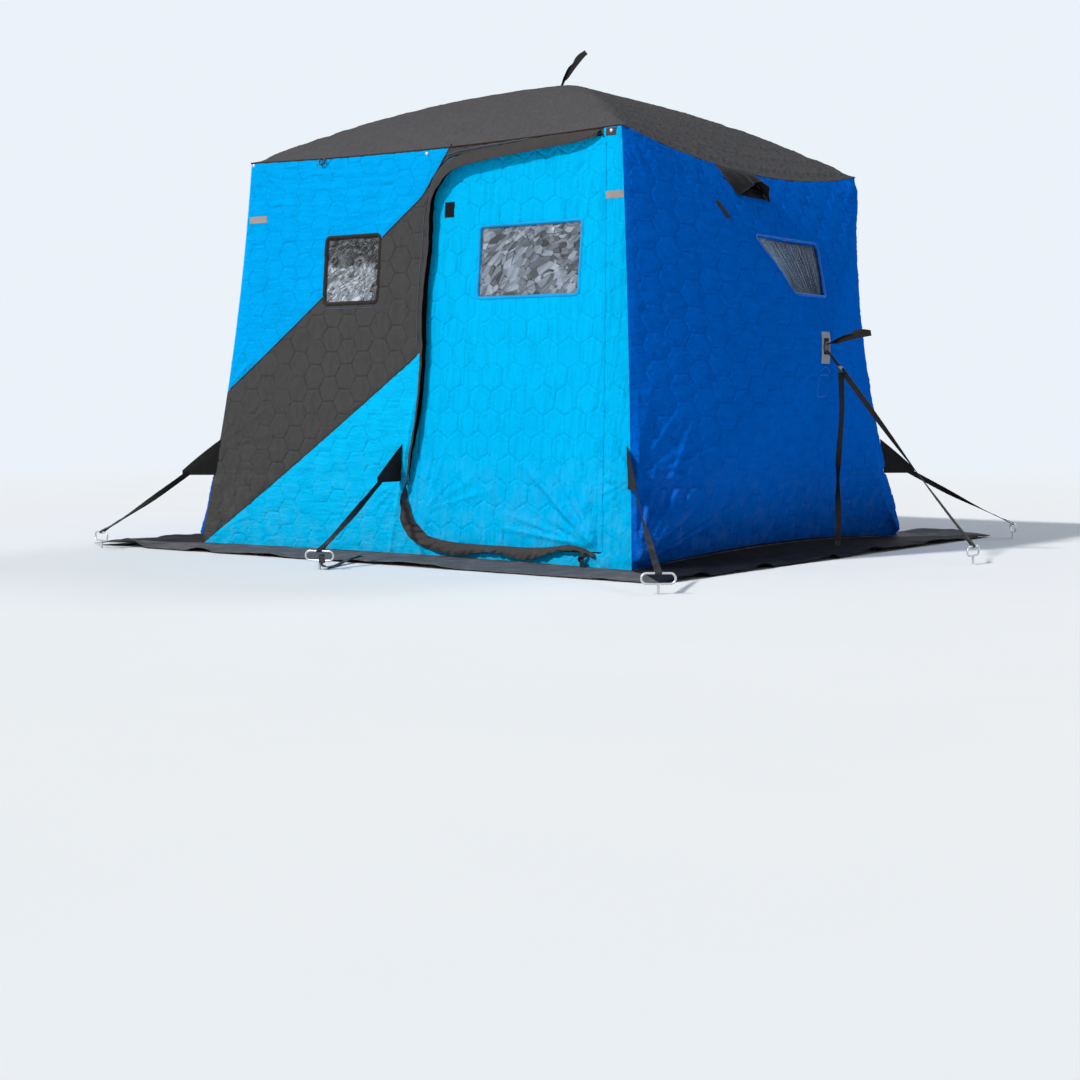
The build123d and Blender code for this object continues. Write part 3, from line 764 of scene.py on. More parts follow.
@dataclass
class SewnSheet:
    """Quilted sheet over a CAD surface: an outer layer, a lining and closed edges."""

    name: str
    surface: Surface
    flat: Points
    tris: Points
    quilt: HexQuilt
    seams: list[Points] = field(default_factory=list)
    folds: list[Fold] = field(default_factory=list)
    thickness: float = 0.008
    slack: float = 0.0035
    gathers: float = 1.0
    hinged: bool = False
    pressed: list[Points] = field(default_factory=list)

    def build(self) -> bpy.types.Object:
        """The sheet as one closed mesh, with material 0 outside and 1 on the lining."""
        used = np.unique(self.tris)
        flat = self.flat[used]
        tris = np.searchsorted(used, self.tris)
        border = border_runs(tris)
        facing = self.surface.facing
        lift = self.surface.lift(flat)
        edges = np.unique(np.sort(np.concatenate([tris[:, [0, 1]], tris[:, [1, 2]], tris[:, [2, 0]]]), 1), axis=0)
        free = np.ones(len(flat), bool)
        free[border.ravel()] = False
        for _ in range(12):
            mean = neighbour_mean(lift[:, None], edges)[:, 0]
            lift[free] = lift[free] * 0.4 + mean[free] * 0.6
        base = facing.place(lift, flat)
        normals = vertex_normals(base, tris)
        outer = base + normals * self._heights(flat, border)[:, None]
        inner_flat, inner_tris, match = self._lining(flat, border)
        inner = facing.place(self.surface.lift(inner_flat), inner_flat)
        inner_normals = vertex_normals(inner, inner_tris)
        inner = inner - inner_normals * self.thickness
        for mine, theirs in match.items():
            inner[mine] = outer[theirs] - normals[theirs] * self.thickness
        back = {theirs: mine + len(outer) for mine, theirs in match.items()}
        faces = [tuple(t) for t in tris]
        lining = [tuple(t[::-1] + len(outer)) for t in inner_tris]
        rims = [(int(b), int(a), back[int(a)], back[int(b)]) for a, b in border]
        piece = make_object(self.name, np.concatenate([outer, inner]), faces + rims + lining,
                            np.concatenate([flat - drift(flat), inner_flat]))
        index = np.zeros(len(piece.data.polygons), np.int32)
        index[len(faces) + len(rims):] = 1
        piece.data.polygons.foreach_set("material_index", index)
        return piece

    def _heights(self, flat: Points, border: Points) -> Points:
        """Height of quilting, creases and slack over the base surface.

        Args:
            flat: Pattern points of the outer layer.
            border: Directed border edges.

        Returns:
            One height for each point.
        """
        starts, ends = flat[border[:, 0]], flat[border[:, 1]]
        if self.seams:
            more = runs_of([np.array(s, float) for s in self.seams], False)
            near_seam, along = nearest_run(flat, np.concatenate([starts, more[0]]), np.concatenate([ends, more[1]]))
            fade = ramp(distance_to(flat, *more), 0.0, 0.016)
        else:
            near_seam, along = nearest_run(flat, starts, ends)
            fade = 1.0
        rim = distance_to(flat, starts, ends)
        level = ramp(rim, 0.0, 0.022)
        if self.hinged:
            beside_hinge = np.abs(flat[:, 0] - PLAN.hinge_x(flat[:, 1])) < 0.025
            level = np.where(beside_hinge, ramp(rim, 0.0, 0.005), level)
            near_seam = np.where(beside_hinge, 1.0, near_seam)
        fade = fade * level
        for loop in self.pressed:
            runs = runs_of([loop])
            fade = fade * ramp(np.where(is_inside(flat, *runs), 0.0, distance_to(flat, *runs)), 0.0, 0.02)
        sewn = flat - drift(flat)
        height = self.quilt.height(sewn)
        for fold in self.folds:
            height = height + fold.lift(flat)
        loose = np.array([noise.noise(Vector((a * 4.1, b * 4.1, 3.7))) for a, b in flat])
        pucker = np.array([noise.noise(Vector((a * 34, b * 34, 1.3))) for a, b in flat])
        lumps = np.array([noise.noise(Vector((a * 13, b * 13, 9.1))) for a, b in flat])
        near = np.exp(-self.quilt.stitch_distance(sewn) / 0.014)
        spot = np.einsum("ij,ij->i", flat, along)
        gather = np.array([noise.noise(Vector((s * 42, d * 9, 6.6))) for s, d in zip(spot, near_seam)])
        gather = gather * 0.0045 * self.gathers * np.exp(-((near_seam - 0.014) / 0.020) ** 2)
        return (height * (1 + 0.45 * lumps) + loose * self.slack
                + pucker * 0.0016 * self.gathers * near) * fade + gather * ramp(
            near_seam, 0.0, 0.006)

    def _lining(self, flat: Points, border: Points) -> tuple[Points, Points, dict[int, int]]:
        """Coarse inner layer that shares the outer layer's border points.

        Args:
            flat: Pattern points of the outer layer.
            border: Directed border edges.

        Returns:
            Pattern points, triangles, and the outer point that each border point shares.
        """
        edge = np.unique(border)
        place = {int(v): k for k, v in enumerate(edge)}
        starts, ends = flat[border[:, 0]], flat[border[:, 1]]
        low, high = flat.min(0), flat.max(0)
        grid = np.stack(np.meshgrid(np.arange(low[0], high[0], 0.06), np.arange(low[1], high[1], 0.06)), -1)
        grid = grid.reshape(-1, 2)
        grid = grid[is_inside(grid, starts, ends)]
        if len(grid):
            grid = grid[distance_to(grid, starts, ends) > 0.02]
        points = np.concatenate([flat[edge], grid])
        verts, tris = triangulated(points, [(place[int(a)], place[int(b)]) for a, b in border])
        tris = tris[is_inside(verts[tris].mean(1), starts, ends)]
        known = {tuple(np.round(flat[v], 5)): int(v) for v in edge}
        match = {}
        for k, v in enumerate(verts):
            theirs = known.get(tuple(np.round(v, 5)))
            if theirs is not None:
                match[k] = theirs
        missing = set(int(v) for v in edge) - set(match.values())
        for theirs in missing:
            k = int(np.argmin(((verts - flat[theirs]) ** 2).sum(1)))
            match[k] = theirs
        return verts, tris, match


# Node helpers and the shared node groups

Socket = bpy.types.NodeSocket


class Graph:
    """Short way to lay out the nodes of a material or a node group."""

    def __init__(self, tree: bpy.types.NodeTree) -> None:
        """Works on one node tree."""
        self.tree = tree

    def put(self, socket: Socket, value: object) -> None:
        """Links a socket's value, or writes it down where it is plain.

        Args:
            socket: Socket to fill.
            value: A socket to link from, or a plain value.
        """
        if isinstance(value, bpy.types.NodeSocket):
            self.tree.links.new(value, socket)
        else:
            socket.default_value = value

    def add(self, kind: str, values: Optional[dict] = None, **settings: object) -> bpy.types.Node:
        """Adds a node.

        Args:
            kind: Type name of the node.
            values: Inputs by name or place, each a socket or a plain value.
            **settings: Properties of the node.

        Returns:
            The node.
        """
        node = self.tree.nodes.new(kind)
        for key, value in settings.items():
            setattr(node, key, value)
        for key, value in (values or {}).items():
            self.put(node.inputs[key], value)
        return node

    def calc(self, operation: str, *values: object, clamp: bool = False) -> Socket:
        """Result of a Math node.

        Args:
            operation: Name of the operation.
            values: Sockets or numbers to work on.
            clamp: Whether the result is kept within 0 and 1.

        Returns:
            The node's output.
        """
        node = self.add("ShaderNodeMath", operation=operation, use_clamp=clamp)
        for socket, value in zip(node.inputs, values):
            self.put(socket, value)
        return node.outputs[0]

    def vec(self, operation: str, *values: object) -> Socket:
        """Result of a Vector Math node.

        Args:
            operation: Name of the operation.
            values: Sockets or vectors to work on.

        Returns:
            The output that fits the operation.
        """
        node = self.add("ShaderNodeVectorMath", operation=operation)
        for socket, value in zip(node.inputs, values):
            self.put(socket, value)
        return node.outputs["Value" if operation in ("DOT_PRODUCT", "LENGTH", "DISTANCE") else "Vector"]

    def mix(self, factor: object, a: object, b: object, blend: str = "MIX") -> Socket:
        """Colour between a and b."""
        return self.add("ShaderNodeMix", {0: factor, 6: a, 7: b}, data_type="RGBA", blend_type=blend).outputs[2]

    def step(self, value: object, low: float, high: float, first: float = 0.0, last: float = 1.0) -> Socket:
        """Smooth change from first to last while the value goes from low to high."""
        return self.add("ShaderNodeMapRange", {0: value, 1: low, 2: high, 3: first, 4: last},
                        interpolation_type="SMOOTHSTEP").outputs[0]

    def noise(self, vector: Socket, scale: float, detail: float = 3.0, rough: float = 0.55) -> Socket:
        """Value of a noise texture."""
        return self.add("ShaderNodeTexNoise", {"Vector": vector, "Scale": scale, "Detail": detail,
                                               "Roughness": rough}).outputs[0]

    def group(self, tree: bpy.types.NodeTree, **values: object) -> bpy.types.Node:
        """Places a node group with its own values.

        Args:
            tree: The group.
            values: Value or socket for each of its inputs, by name.

        Returns:
            The placed node.
        """
        node = self.add("ShaderNodeGroup", node_tree=tree)
        for key, value in values.items():
            self.put(node.inputs[key], value)
        return node


def new_group(name: str, inputs: dict, outputs: Sequence[str]) -> tuple[Graph, bpy.types.Node, bpy.types.Node]:
    """Empty shader node group.

    Args:
        name: Name of the group.
        inputs: Plain value of each input by name, None for a vector.
        outputs: Names of its value outputs.

    Returns:
        The graph and its input and output nodes.
    """
    tree = bpy.data.node_groups.new(name, "ShaderNodeTree")
    for label, value in inputs.items():
        kind = "NodeSocketVector" if value is None else "NodeSocketFloat"
        socket = tree.interface.new_socket(name=label, in_out="INPUT", socket_type=kind)
        if value is not None:
            socket.default_value = value
    for label in outputs:
        tree.interface.new_socket(name=label, in_out="OUTPUT", socket_type="NodeSocketFloat")
    graph = Graph(tree)
    return graph, graph.add("NodeGroupInput"), graph.add("NodeGroupOutput")


@cache
def weave_group() -> bpy.types.NodeTree:
    """Plain weave: Height of the threads and a Tone that changes from thread to thread."""
    g, given, out = new_group("weave", {"Vector": None, "Threads": 1400.0}, ("Height", "Tone"))
    scaled = g.add("ShaderNodeVectorMath", {0: given.outputs["Vector"], "Scale": given.outputs["Threads"]},
                   operation="SCALE").outputs[0]
    parts = g.add("ShaderNodeSeparateXYZ", {0: scaled})
    over = g.calc("SINE", g.calc("MULTIPLY", parts.outputs[0], math.pi))
    under = g.calc("SINE", g.calc("MULTIPLY", parts.outputs[1], math.pi))
    g.put(out.inputs["Height"], g.calc("MULTIPLY_ADD", g.calc("MULTIPLY", over, under), 0.5, 0.5))
    slub = g.vec("MULTIPLY", given.outputs["Vector"], (900.0, 40.0, 1.0))
    slub2 = g.vec("MULTIPLY", given.outputs["Vector"], (40.0, 900.0, 1.0))
    g.put(out.inputs["Tone"], g.calc("MULTIPLY", g.noise(slub, 1.0, 1.0), g.noise(slub2, 1.0, 1.0)))
    return g.tree


@cache
def hex_group() -> bpy.types.NodeTree:
    """Six-sided quilting: Edge distance in metres, Stitch dashes and one Cell value per cell."""
    g, given, out = new_group("hex_quilt", {"Vector": None, "Pitch": 0.113, "Flat": 1.0},
                              ("Edge", "Stitch", "Cell"))
    parts = g.add("ShaderNodeSeparateXYZ", {0: given.outputs["Vector"]})
    x, y = parts.outputs[0], parts.outputs[1]
    swap = g.calc("MULTIPLY", g.calc("SUBTRACT", y, x), given.outputs["Flat"])
    across = g.calc("DIVIDE", g.calc("ADD", x, swap), given.outputs["Pitch"])
    up = g.calc("DIVIDE", g.calc("SUBTRACT", y, swap), given.outputs["Pitch"])
    p = g.add("ShaderNodeCombineXYZ", {0: across, 1: up, 2: 0.0}).outputs[0]
    half = (0.5, math.sqrt(3) / 2, 1.0)
    less = (-0.5, -math.sqrt(3) / 2, -1.0)
    even = g.vec("WRAP", p, half, less)
    odd = g.vec("WRAP", g.vec("SUBTRACT", p, (0.5, math.sqrt(3) / 2, 0.0)), half, less)
    nearer = g.calc("LESS_THAN", g.vec("DOT_PRODUCT", even, even), g.vec("DOT_PRODUCT", odd, odd))
    near = g.add("ShaderNodeMix", {0: nearer, 4: odd, 5: even}, data_type="VECTOR").outputs[1]
    gaps = g.add("ShaderNodeSeparateXYZ", {0: g.vec("ABSOLUTE", near)})
    slant = g.calc("MULTIPLY_ADD", gaps.outputs[0], 0.5, g.calc("MULTIPLY", gaps.outputs[1], math.sqrt(3) / 2))
    reach = g.calc("MAXIMUM", gaps.outputs[0], slant)
    edge = g.calc("MULTIPLY", g.calc("SUBTRACT", 0.5, reach), given.outputs["Pitch"])
    g.put(out.inputs["Edge"], edge)
    dash = g.calc("SINE", g.calc("MULTIPLY", g.calc("ADD", x, g.calc("MULTIPLY", y, 1.73)), 900.0))
    g.put(out.inputs["Stitch"], g.calc("MULTIPLY", g.step(edge, 0.0009, 0.0016, 1.0, 0.0), g.step(dash, -0.5, 0.1)))
    whole = g.vec("FLOOR", g.vec("ADD", g.vec("MULTIPLY", g.vec("SUBTRACT", p, near), (2.0, 1.1547, 1.0)),
                                 (0.5, 0.5, 0.5)))
    g.put(out.inputs["Cell"], g.add("ShaderNodeTexWhiteNoise", {0: whole}, noise_dimensions="2D").outputs[0])
    return g.tree


@cache
def wear_group() -> bpy.types.NodeTree:
    """Use out of doors: broad Mottle, fine Grain and Dust that gathers towards the ground."""
    g, given, out = new_group("outdoor_wear", {"Vector": None, "Low": 0.0, "High": 0.5},
                              ("Mottle", "Grain", "Dust"))
    place = given.outputs["Vector"]
    g.put(out.inputs["Mottle"], g.noise(place, 2.3, 4.0, 0.6))
    g.put(out.inputs["Grain"], g.noise(place, 160.0, 2.0, 0.7))
    height = g.add("ShaderNodeSeparateXYZ", {0: place}).outputs[2]
    low = g.add("ShaderNodeMapRange", {0: height, 1: given.outputs["Low"], 2: given.outputs["High"], 3: 1.0, 4: 0.0})
    g.put(out.inputs["Dust"], g.calc("MULTIPLY", low.outputs[0], g.step(g.noise(place, 14.0, 5.0, 0.65), 0.42, 0.7)))
    return g.tree


@cache
def crinkle_group() -> bpy.types.NodeTree:
    """Crumpled film: Height of its tilted facets, with painted reflection in a tone for each facet, painted shade on
    the crease lines and painted glints as bright spots.
    """
    g, given, out = new_group("crinkle", {"Vector": None, "Scale": 12.0}, ("Height", "FacetReflection", "CreaseShade", "Glint"))
    wide = g.add("ShaderNodeVectorMath", {0: given.outputs["Vector"], "Scale": given.outputs["Scale"]},
                 operation="SCALE").outputs[0]
    bent = g.add("ShaderNodeTexNoise", {"Vector": wide, "Scale": 0.45, "Detail": 1.0})
    turned_in = g.add("ShaderNodeVectorRotate", {"Vector": wide, "Angle": 0.6}, rotation_type="Z_AXIS").outputs[0]
    place = g.vec("ADD", g.vec("MULTIPLY", turned_in, (0.6, 1.25, 1.0)), g.vec("MULTIPLY", bent.outputs["Color"],
                                                                           (1.3, 1.3, 0.0)))
    heights = []
    for scale, weight in ((1.0, 1.0), (2.3, 0.35)):
        cell = g.add("ShaderNodeTexVoronoi", {"Vector": place, "Scale": scale})
        away = g.vec("SUBTRACT", place, cell.outputs["Position"])
        heights.append(g.calc("MULTIPLY", g.vec("DOT_PRODUCT", away, g.vec("SUBTRACT", cell.outputs["Color"],
                                                                         (0.5, 0.5, 0.5))), weight))
        tone = g.add("ShaderNodeSeparateColor", {0: cell.outputs["Color"]}).outputs[0]
    g.put(out.inputs["Height"], g.calc("ADD", *heights))
    broad = g.add("ShaderNodeSeparateColor", {0: g.add("ShaderNodeTexVoronoi", {"Vector": place}).outputs["Color"]})
    # Painted reflection: a tone for each facet.
    g.put(out.inputs["FacetReflection"], g.calc("MULTIPLY_ADD", broad.outputs[0], 0.7, g.calc("MULTIPLY", tone, 0.3)))
    edge = g.add("ShaderNodeTexVoronoi", {"Vector": place}, feature="DISTANCE_TO_EDGE").outputs["Distance"]
    patchy = g.step(g.noise(wide, 1.6, 2.0), 0.42, 0.6)
    # Painted shade along the creases.
    g.put(out.inputs["CreaseShade"], g.calc("MULTIPLY", g.step(edge, 0.01, 0.09, 1.0, 0.0), patchy))
    # Painted glints as bright spots.
    g.put(out.inputs["Glint"], g.step(g.noise(place, 1.5, 2.0, 0.6), 0.66, 0.70))
    return g.tree


@cache
def rib_group() -> bpy.types.NodeTree:
    """Ribbed webbing: Height of its cords across the width and a fine Pick pattern along it."""
    g, given, out = new_group("ribs", {"Vector": None, "Ribs": 420.0, "Picks": 700.0}, ("Height", "Pick"))
    parts = g.add("ShaderNodeSeparateXYZ", {0: given.outputs["Vector"]})
    rib = g.calc("SINE", g.calc("MULTIPLY", g.calc("MULTIPLY", parts.outputs[1], given.outputs["Ribs"]), 2 * math.pi))
    pick = g.calc("SINE", g.calc("MULTIPLY", g.calc("MULTIPLY", parts.outputs[0], given.outputs["Picks"]),
                                 2 * math.pi))
    g.put(out.inputs["Height"], g.calc("MULTIPLY_ADD", rib, 0.35, g.calc("MULTIPLY_ADD", pick, 0.15, 0.5)))
    g.put(out.inputs["Pick"], g.step(g.calc("MULTIPLY", rib, pick), 0.1, 0.9))
    return g.tree


# Finishes

def shader(name: str) -> tuple[bpy.types.Material, Graph, bpy.types.Node]:
    """Empty material with a Principled shader.

    Args:
        name: Name of the material.

    Returns:
        The material, its graph and the shader node.
    """
    made = bpy.data.materials.new(name)
    made.use_nodes = True
    made.node_tree.nodes.clear()
    g = Graph(made.node_tree)
    bsdf = g.add("ShaderNodeBsdfPrincipled")
    g.add("ShaderNodeOutputMaterial", {0: bsdf.outputs[0]})
    return made, g, bsdf


def scaled(colour: Colour, amount: float) -> tuple[float, float, float, float]:
    """A colour made lighter or darker, with its alpha."""
    return (*(min(1.0, c * amount) for c in colour), 1.0)


@dataclass(frozen=True)
class QuiltedCloth:
    """Coated woven cloth sewn to its wadding in six-sided cells, with painted shade in the quilting grooves and along
    the folds, and a painted highlight beside the grooves.
    """

    name: str
    colour: Colour
    flat_top: bool = True
    streaks: tuple[float, float] = (16.0, 40.0)
    pitch: float = 0.113
    roughness: float = 0.62
    dust: float = 0.05
    # Colour factor of the painted shade in the quilting grooves.
    shaded_groove: float = 0.80

    @cache
    def material(self) -> bpy.types.Material:
        """The finish as a material."""
        made, g, bsdf = shader(self.name)
        flat = g.add("ShaderNodeUVMap", uv_map="cloth").outputs[0]
        place = g.add("ShaderNodeTexCoord").outputs["Object"]
        quilt = g.group(hex_group(), Vector=flat, Pitch=self.pitch, Flat=float(self.flat_top))
        weave = g.group(weave_group(), Vector=flat, Threads=1100.0)
        wear = g.group(wear_group(), Vector=place)
        tint = g.calc("MULTIPLY_ADD", quilt.outputs["Cell"], 0.14, g.calc("MULTIPLY", wear.outputs["Mottle"], 0.6))
        colour = g.mix(tint, scaled(self.colour, 0.90), scaled(self.colour, 1.14))
        # Painted shade: the noise that bumps the folds also darkens the colour along them.
        streak_shade = g.noise(g.vec("MULTIPLY", flat, (*self.streaks, 1.0)), 1.0, 4.0, 0.62)
        colour = g.mix(g.step(streak_shade, 0.46, 0.66, 0.0, 0.5), colour, scaled(self.colour, 0.78))
        # Painted shade in the quilting grooves, patchy along them; the same mask raises the roughness there.
        uneven = g.step(g.noise(flat, 17.0, 3.0), 0.35, 0.62, 0.25, 1.0)
        shaded_groove = g.calc("MULTIPLY", g.step(quilt.outputs["Edge"], 0.0, 0.0048, 1.0, 0.0), uneven)
        colour = g.mix(shaded_groove, colour, scaled(self.colour, self.shaded_groove))
        # Painted highlight on the lip beside each quilting groove.
        lip_highlight = g.calc("SUBTRACT", g.step(quilt.outputs["Edge"], 0.004, 0.008),
                     g.step(quilt.outputs["Edge"], 0.008, 0.016))
        colour = g.mix(g.calc("MULTIPLY", lip_highlight, 0.18), colour, scaled(self.colour, 1.25))
        colour = g.mix(g.calc("MULTIPLY", quilt.outputs["Stitch"], 0.3), colour, scaled(self.colour, 1.3))
        colour = g.mix(g.calc("MULTIPLY", weave.outputs["Tone"], 0.25), colour, scaled(self.colour, 0.7))
        colour = g.mix(g.calc("MULTIPLY", wear.outputs["Dust"], self.dust), colour, (0.62, 0.66, 0.70, 1.0))
        g.put(bsdf.inputs["Base Color"], colour)
        rough = g.calc("MULTIPLY_ADD", wear.outputs["Grain"], 0.16, self.roughness - 0.08)
        g.put(bsdf.inputs["Roughness"], g.calc("MULTIPLY_ADD", shaded_groove, 0.12, rough))
        bsdf.inputs["Specular IOR Level"].default_value = 0.0
        fine = g.add("ShaderNodeBump", {"Height": weave.outputs["Height"], "Strength": 0.25, "Distance": 0.0004})
        pucker = g.calc("MULTIPLY", g.noise(flat, 62.0, 3.0, 0.6), g.step(quilt.outputs["Edge"], 0.0, 0.03, 1.0, 0.25))
        folds = g.calc("MULTIPLY_ADD", streak_shade, 1.3, pucker)
        soft = g.add("ShaderNodeBump", {"Height": folds, "Strength": 0.85, "Distance": 0.008,
                                        "Normal": fine.outputs[0]})
        g.put(bsdf.inputs["Normal"], soft.outputs[0])
        return made


@dataclass(frozen=True)
class PlainCloth:
    """Plain woven cloth with small creases, for the skirt, flap, hoods and lining."""

    name: str
    colour: Colour
    threads: float = 900.0
    crease: float = 0.5
    crease_scale: float = 16.0
    roughness: float = 0.68
    dust: float = 0.3

    @cache
    def material(self) -> bpy.types.Material:
        """The finish as a material."""
        made, g, bsdf = shader(self.name)
        flat = g.add("ShaderNodeUVMap", uv_map="cloth").outputs[0]
        place = g.add("ShaderNodeTexCoord").outputs["Object"]
        weave = g.group(weave_group(), Vector=flat, Threads=self.threads)
        wear = g.group(wear_group(), Vector=place, High=0.12)
        colour = g.mix(wear.outputs["Mottle"], scaled(self.colour, 0.78), scaled(self.colour, 1.25))
        colour = g.mix(g.calc("MULTIPLY", weave.outputs["Tone"], 0.4), colour, scaled(self.colour, 0.55))
        colour = g.mix(g.calc("MULTIPLY", wear.outputs["Dust"], self.dust), colour, (0.6, 0.63, 0.67, 1.0))
        g.put(bsdf.inputs["Base Color"], colour)
        g.put(bsdf.inputs["Roughness"], g.calc("MULTIPLY_ADD", wear.outputs["Grain"], 0.2, self.roughness - 0.1))
        bsdf.inputs["Specular IOR Level"].default_value = 0.06
        fine = g.add("ShaderNodeBump", {"Height": weave.outputs["Height"], "Strength": 0.3, "Distance": 0.0005})
        folds = g.noise(place, self.crease_scale, 5.0, 0.62)
        soft = g.add("ShaderNodeBump", {"Height": folds, "Strength": self.crease, "Distance": 0.012,
                                        "Normal": fine.outputs[0]})
        g.put(bsdf.inputs["Normal"], soft.outputs[0])
        return made


@dataclass(frozen=True)
class Webbing:
    """Ribbed strap or tape, with rows of stitches near its edges where they are asked for."""

    name: str
    colour: Colour
    thread: Optional[Colour] = None
    ribs: float = 420.0
    roughness: float = 0.6

    @cache
    def material(self) -> bpy.types.Material:
        """The finish as a material."""
        made, g, bsdf = shader(self.name)
        flat = g.add("ShaderNodeUVMap", uv_map="cloth").outputs[0]
        place = g.add("ShaderNodeTexCoord").outputs["Object"]
        ribs = g.group(rib_group(), Vector=flat, Ribs=self.ribs)
        wear = g.group(wear_group(), Vector=place, High=0.2)
        colour = g.mix(wear.outputs["Mottle"], scaled(self.colour, 0.7), scaled(self.colour, 1.4))
        colour = g.mix(g.calc("MULTIPLY", ribs.outputs["Pick"], 0.5), colour, scaled(self.colour, 0.6))
        if self.thread is not None:
            parts = g.add("ShaderNodeSeparateXYZ", {0: flat})
            row = g.step(g.calc("ABSOLUTE", g.calc("SUBTRACT", parts.outputs[1], 0.003)), 0.0005, 0.0009, 1.0, 0.0)
            dash = g.step(g.calc("SINE", g.calc("MULTIPLY", parts.outputs[0], 1250.0)), -0.4, 0.0)
            colour = g.mix(g.calc("MULTIPLY", row, dash), colour, scaled(self.thread, 1.0))
        colour = g.mix(g.calc("MULTIPLY", wear.outputs["Dust"], 0.25), colour, (0.55, 0.57, 0.6, 1.0))
        g.put(bsdf.inputs["Base Color"], colour)
        g.put(bsdf.inputs["Roughness"], g.calc("MULTIPLY_ADD", wear.outputs["Grain"], 0.2, self.roughness - 0.1))
        bsdf.inputs["Specular IOR Level"].default_value = 0.15
        bump = g.add("ShaderNodeBump", {"Height": ribs.outputs["Height"], "Strength": 0.5, "Distance": 0.0006})
        g.put(bsdf.inputs["Normal"], bump.outputs[0])
        return made


@dataclass(frozen=True)
class ClearVinyl:
    """Clear soft film that has been folded: tilted facets, with painted reflection and see-through shade in their
    tones, painted shade on the dark creases and painted glints as bright spots.
    """

    name: str
    # Dark stands for the shade seen through the film and light for the sky it reflects: painted see-through shade and
    # painted reflection.
    dark: Colour = (0.07, 0.075, 0.08)
    light: Colour = (0.75, 0.80, 0.88)
    facets: float = 12.0
    strength: float = 0.8
    clear: float = 0.55
    creases: float = 0.9
    glints: float = 0.9
    pleats: float = 0.0
    haze: Pair = (0.05, 0.2)
    ior: float = 1.45

    @cache
    def material(self) -> bpy.types.Material:
        """The finish as a material."""
        made, g, bsdf = shader(self.name)
        flat = g.add("ShaderNodeUVMap", uv_map="cloth").outputs[0]
        film = g.group(crinkle_group(), Vector=flat, Scale=self.facets)
        tone = film.outputs["FacetReflection"]
        height = film.outputs["Height"]
        # Pleat lines and a paler band near one side edge in the tone: painted reflection.
        if self.pleats:
            across = g.add("ShaderNodeSeparateXYZ", {0: flat}).outputs[0]
            height = g.noise(g.vec("MULTIPLY", flat, (self.pleats, 2.5, 1.0)), 1.0, 3.0)
            line = g.step(height, 0.44, 0.62, 0.0, 0.45)
            tone = g.calc("MULTIPLY_ADD", g.step(across, 0.02, 0.26, 1.0, 0.0), 0.6, line, clamp=True)
        # Base colour from the facet tones, the crease lines and the bright spots: painted reflection, painted shade
        # and painted glints.
        colour = g.mix(tone, (*self.dark, 1.0), (*self.light, 1.0))
        colour = g.mix(g.calc("MULTIPLY", film.outputs["CreaseShade"], self.creases), colour, (0.01, 0.011, 0.012, 1.0))
        colour = g.mix(g.calc("MULTIPLY", film.outputs["Glint"], self.glints), colour, (1.0, 1.0, 1.0, 1.0))
        g.put(bsdf.inputs["Base Color"], colour)
        g.put(bsdf.inputs["Roughness"], g.step(g.noise(flat, 9.0, 5.0, 0.7), 0.3, 0.7, *self.haze))
        bsdf.inputs["Transmission Weight"].default_value = self.clear
        bsdf.inputs["IOR"].default_value = self.ior
        bump = g.add("ShaderNodeBump", {"Height": height, "Strength": self.strength, "Distance": 0.012})
        g.put(bsdf.inputs["Normal"], bump.outputs[0])
        return made


@dataclass(frozen=True)
class Moulded:
    """Moulded plastic or drawn rod with a fine grain."""

    name: str
    colour: Colour
    roughness: float = 0.45
    grain: float = 220.0
    depth: float = 0.25

    @cache
    def material(self) -> bpy.types.Material:
        """The finish as a material."""
        made, g, bsdf = shader(self.name)
        place = g.add("ShaderNodeTexCoord").outputs["Object"]
        wear = g.group(wear_group(), Vector=place)
        grain = g.noise(place, self.grain, 3.0, 0.6)
        colour = g.mix(wear.outputs["Mottle"], scaled(self.colour, 0.8), scaled(self.colour, 1.25))
        g.put(bsdf.inputs["Base Color"], g.mix(g.calc("MULTIPLY", grain, 0.4), colour, scaled(self.colour, 1.6)))
        g.put(bsdf.inputs["Roughness"], g.calc("MULTIPLY_ADD", grain, 0.25, self.roughness - 0.12))
        bump = g.add("ShaderNodeBump", {"Height": grain, "Strength": self.depth, "Distance": 0.0006})
        g.put(bsdf.inputs["Normal"], bump.outputs[0])
        return made


@dataclass(frozen=True)
class BareMetal:
    """Zinc-plated wire or extruded bar, with drawing marks and dull patches."""

    name: str
    colour: Colour
    roughness: float = 0.32
    grain: tuple[float, float, float] = (300.0, 300.0, 20.0)

    @cache
    def material(self) -> bpy.types.Material:
        """The finish as a material."""
        made, g, bsdf = shader(self.name)
        place = g.add("ShaderNodeTexCoord").outputs["Object"]
        lines = g.noise(g.vec("MULTIPLY", place, self.grain), 1.0, 3.0, 0.6)
        spots = g.noise(place, 45.0, 4.0, 0.6)
        colour = g.mix(spots, scaled(self.colour, 0.7), scaled(self.colour, 1.1))
        g.put(bsdf.inputs["Base Color"], g.mix(g.calc("MULTIPLY", lines, 0.3), colour, scaled(self.colour, 0.6)))
        g.put(bsdf.inputs["Roughness"], g.calc("MULTIPLY_ADD", spots, 0.3, self.roughness - 0.15))
        bsdf.inputs["Metallic"].default_value = 1.0
        bump = g.add("ShaderNodeBump", {"Height": lines, "Strength": 0.2, "Distance": 0.0004})
        g.put(bsdf.inputs["Normal"], bump.outputs[0])
        return made


Finish = QuiltedCloth | PlainCloth | Webbing | ClearVinyl | Moulded | BareMetal

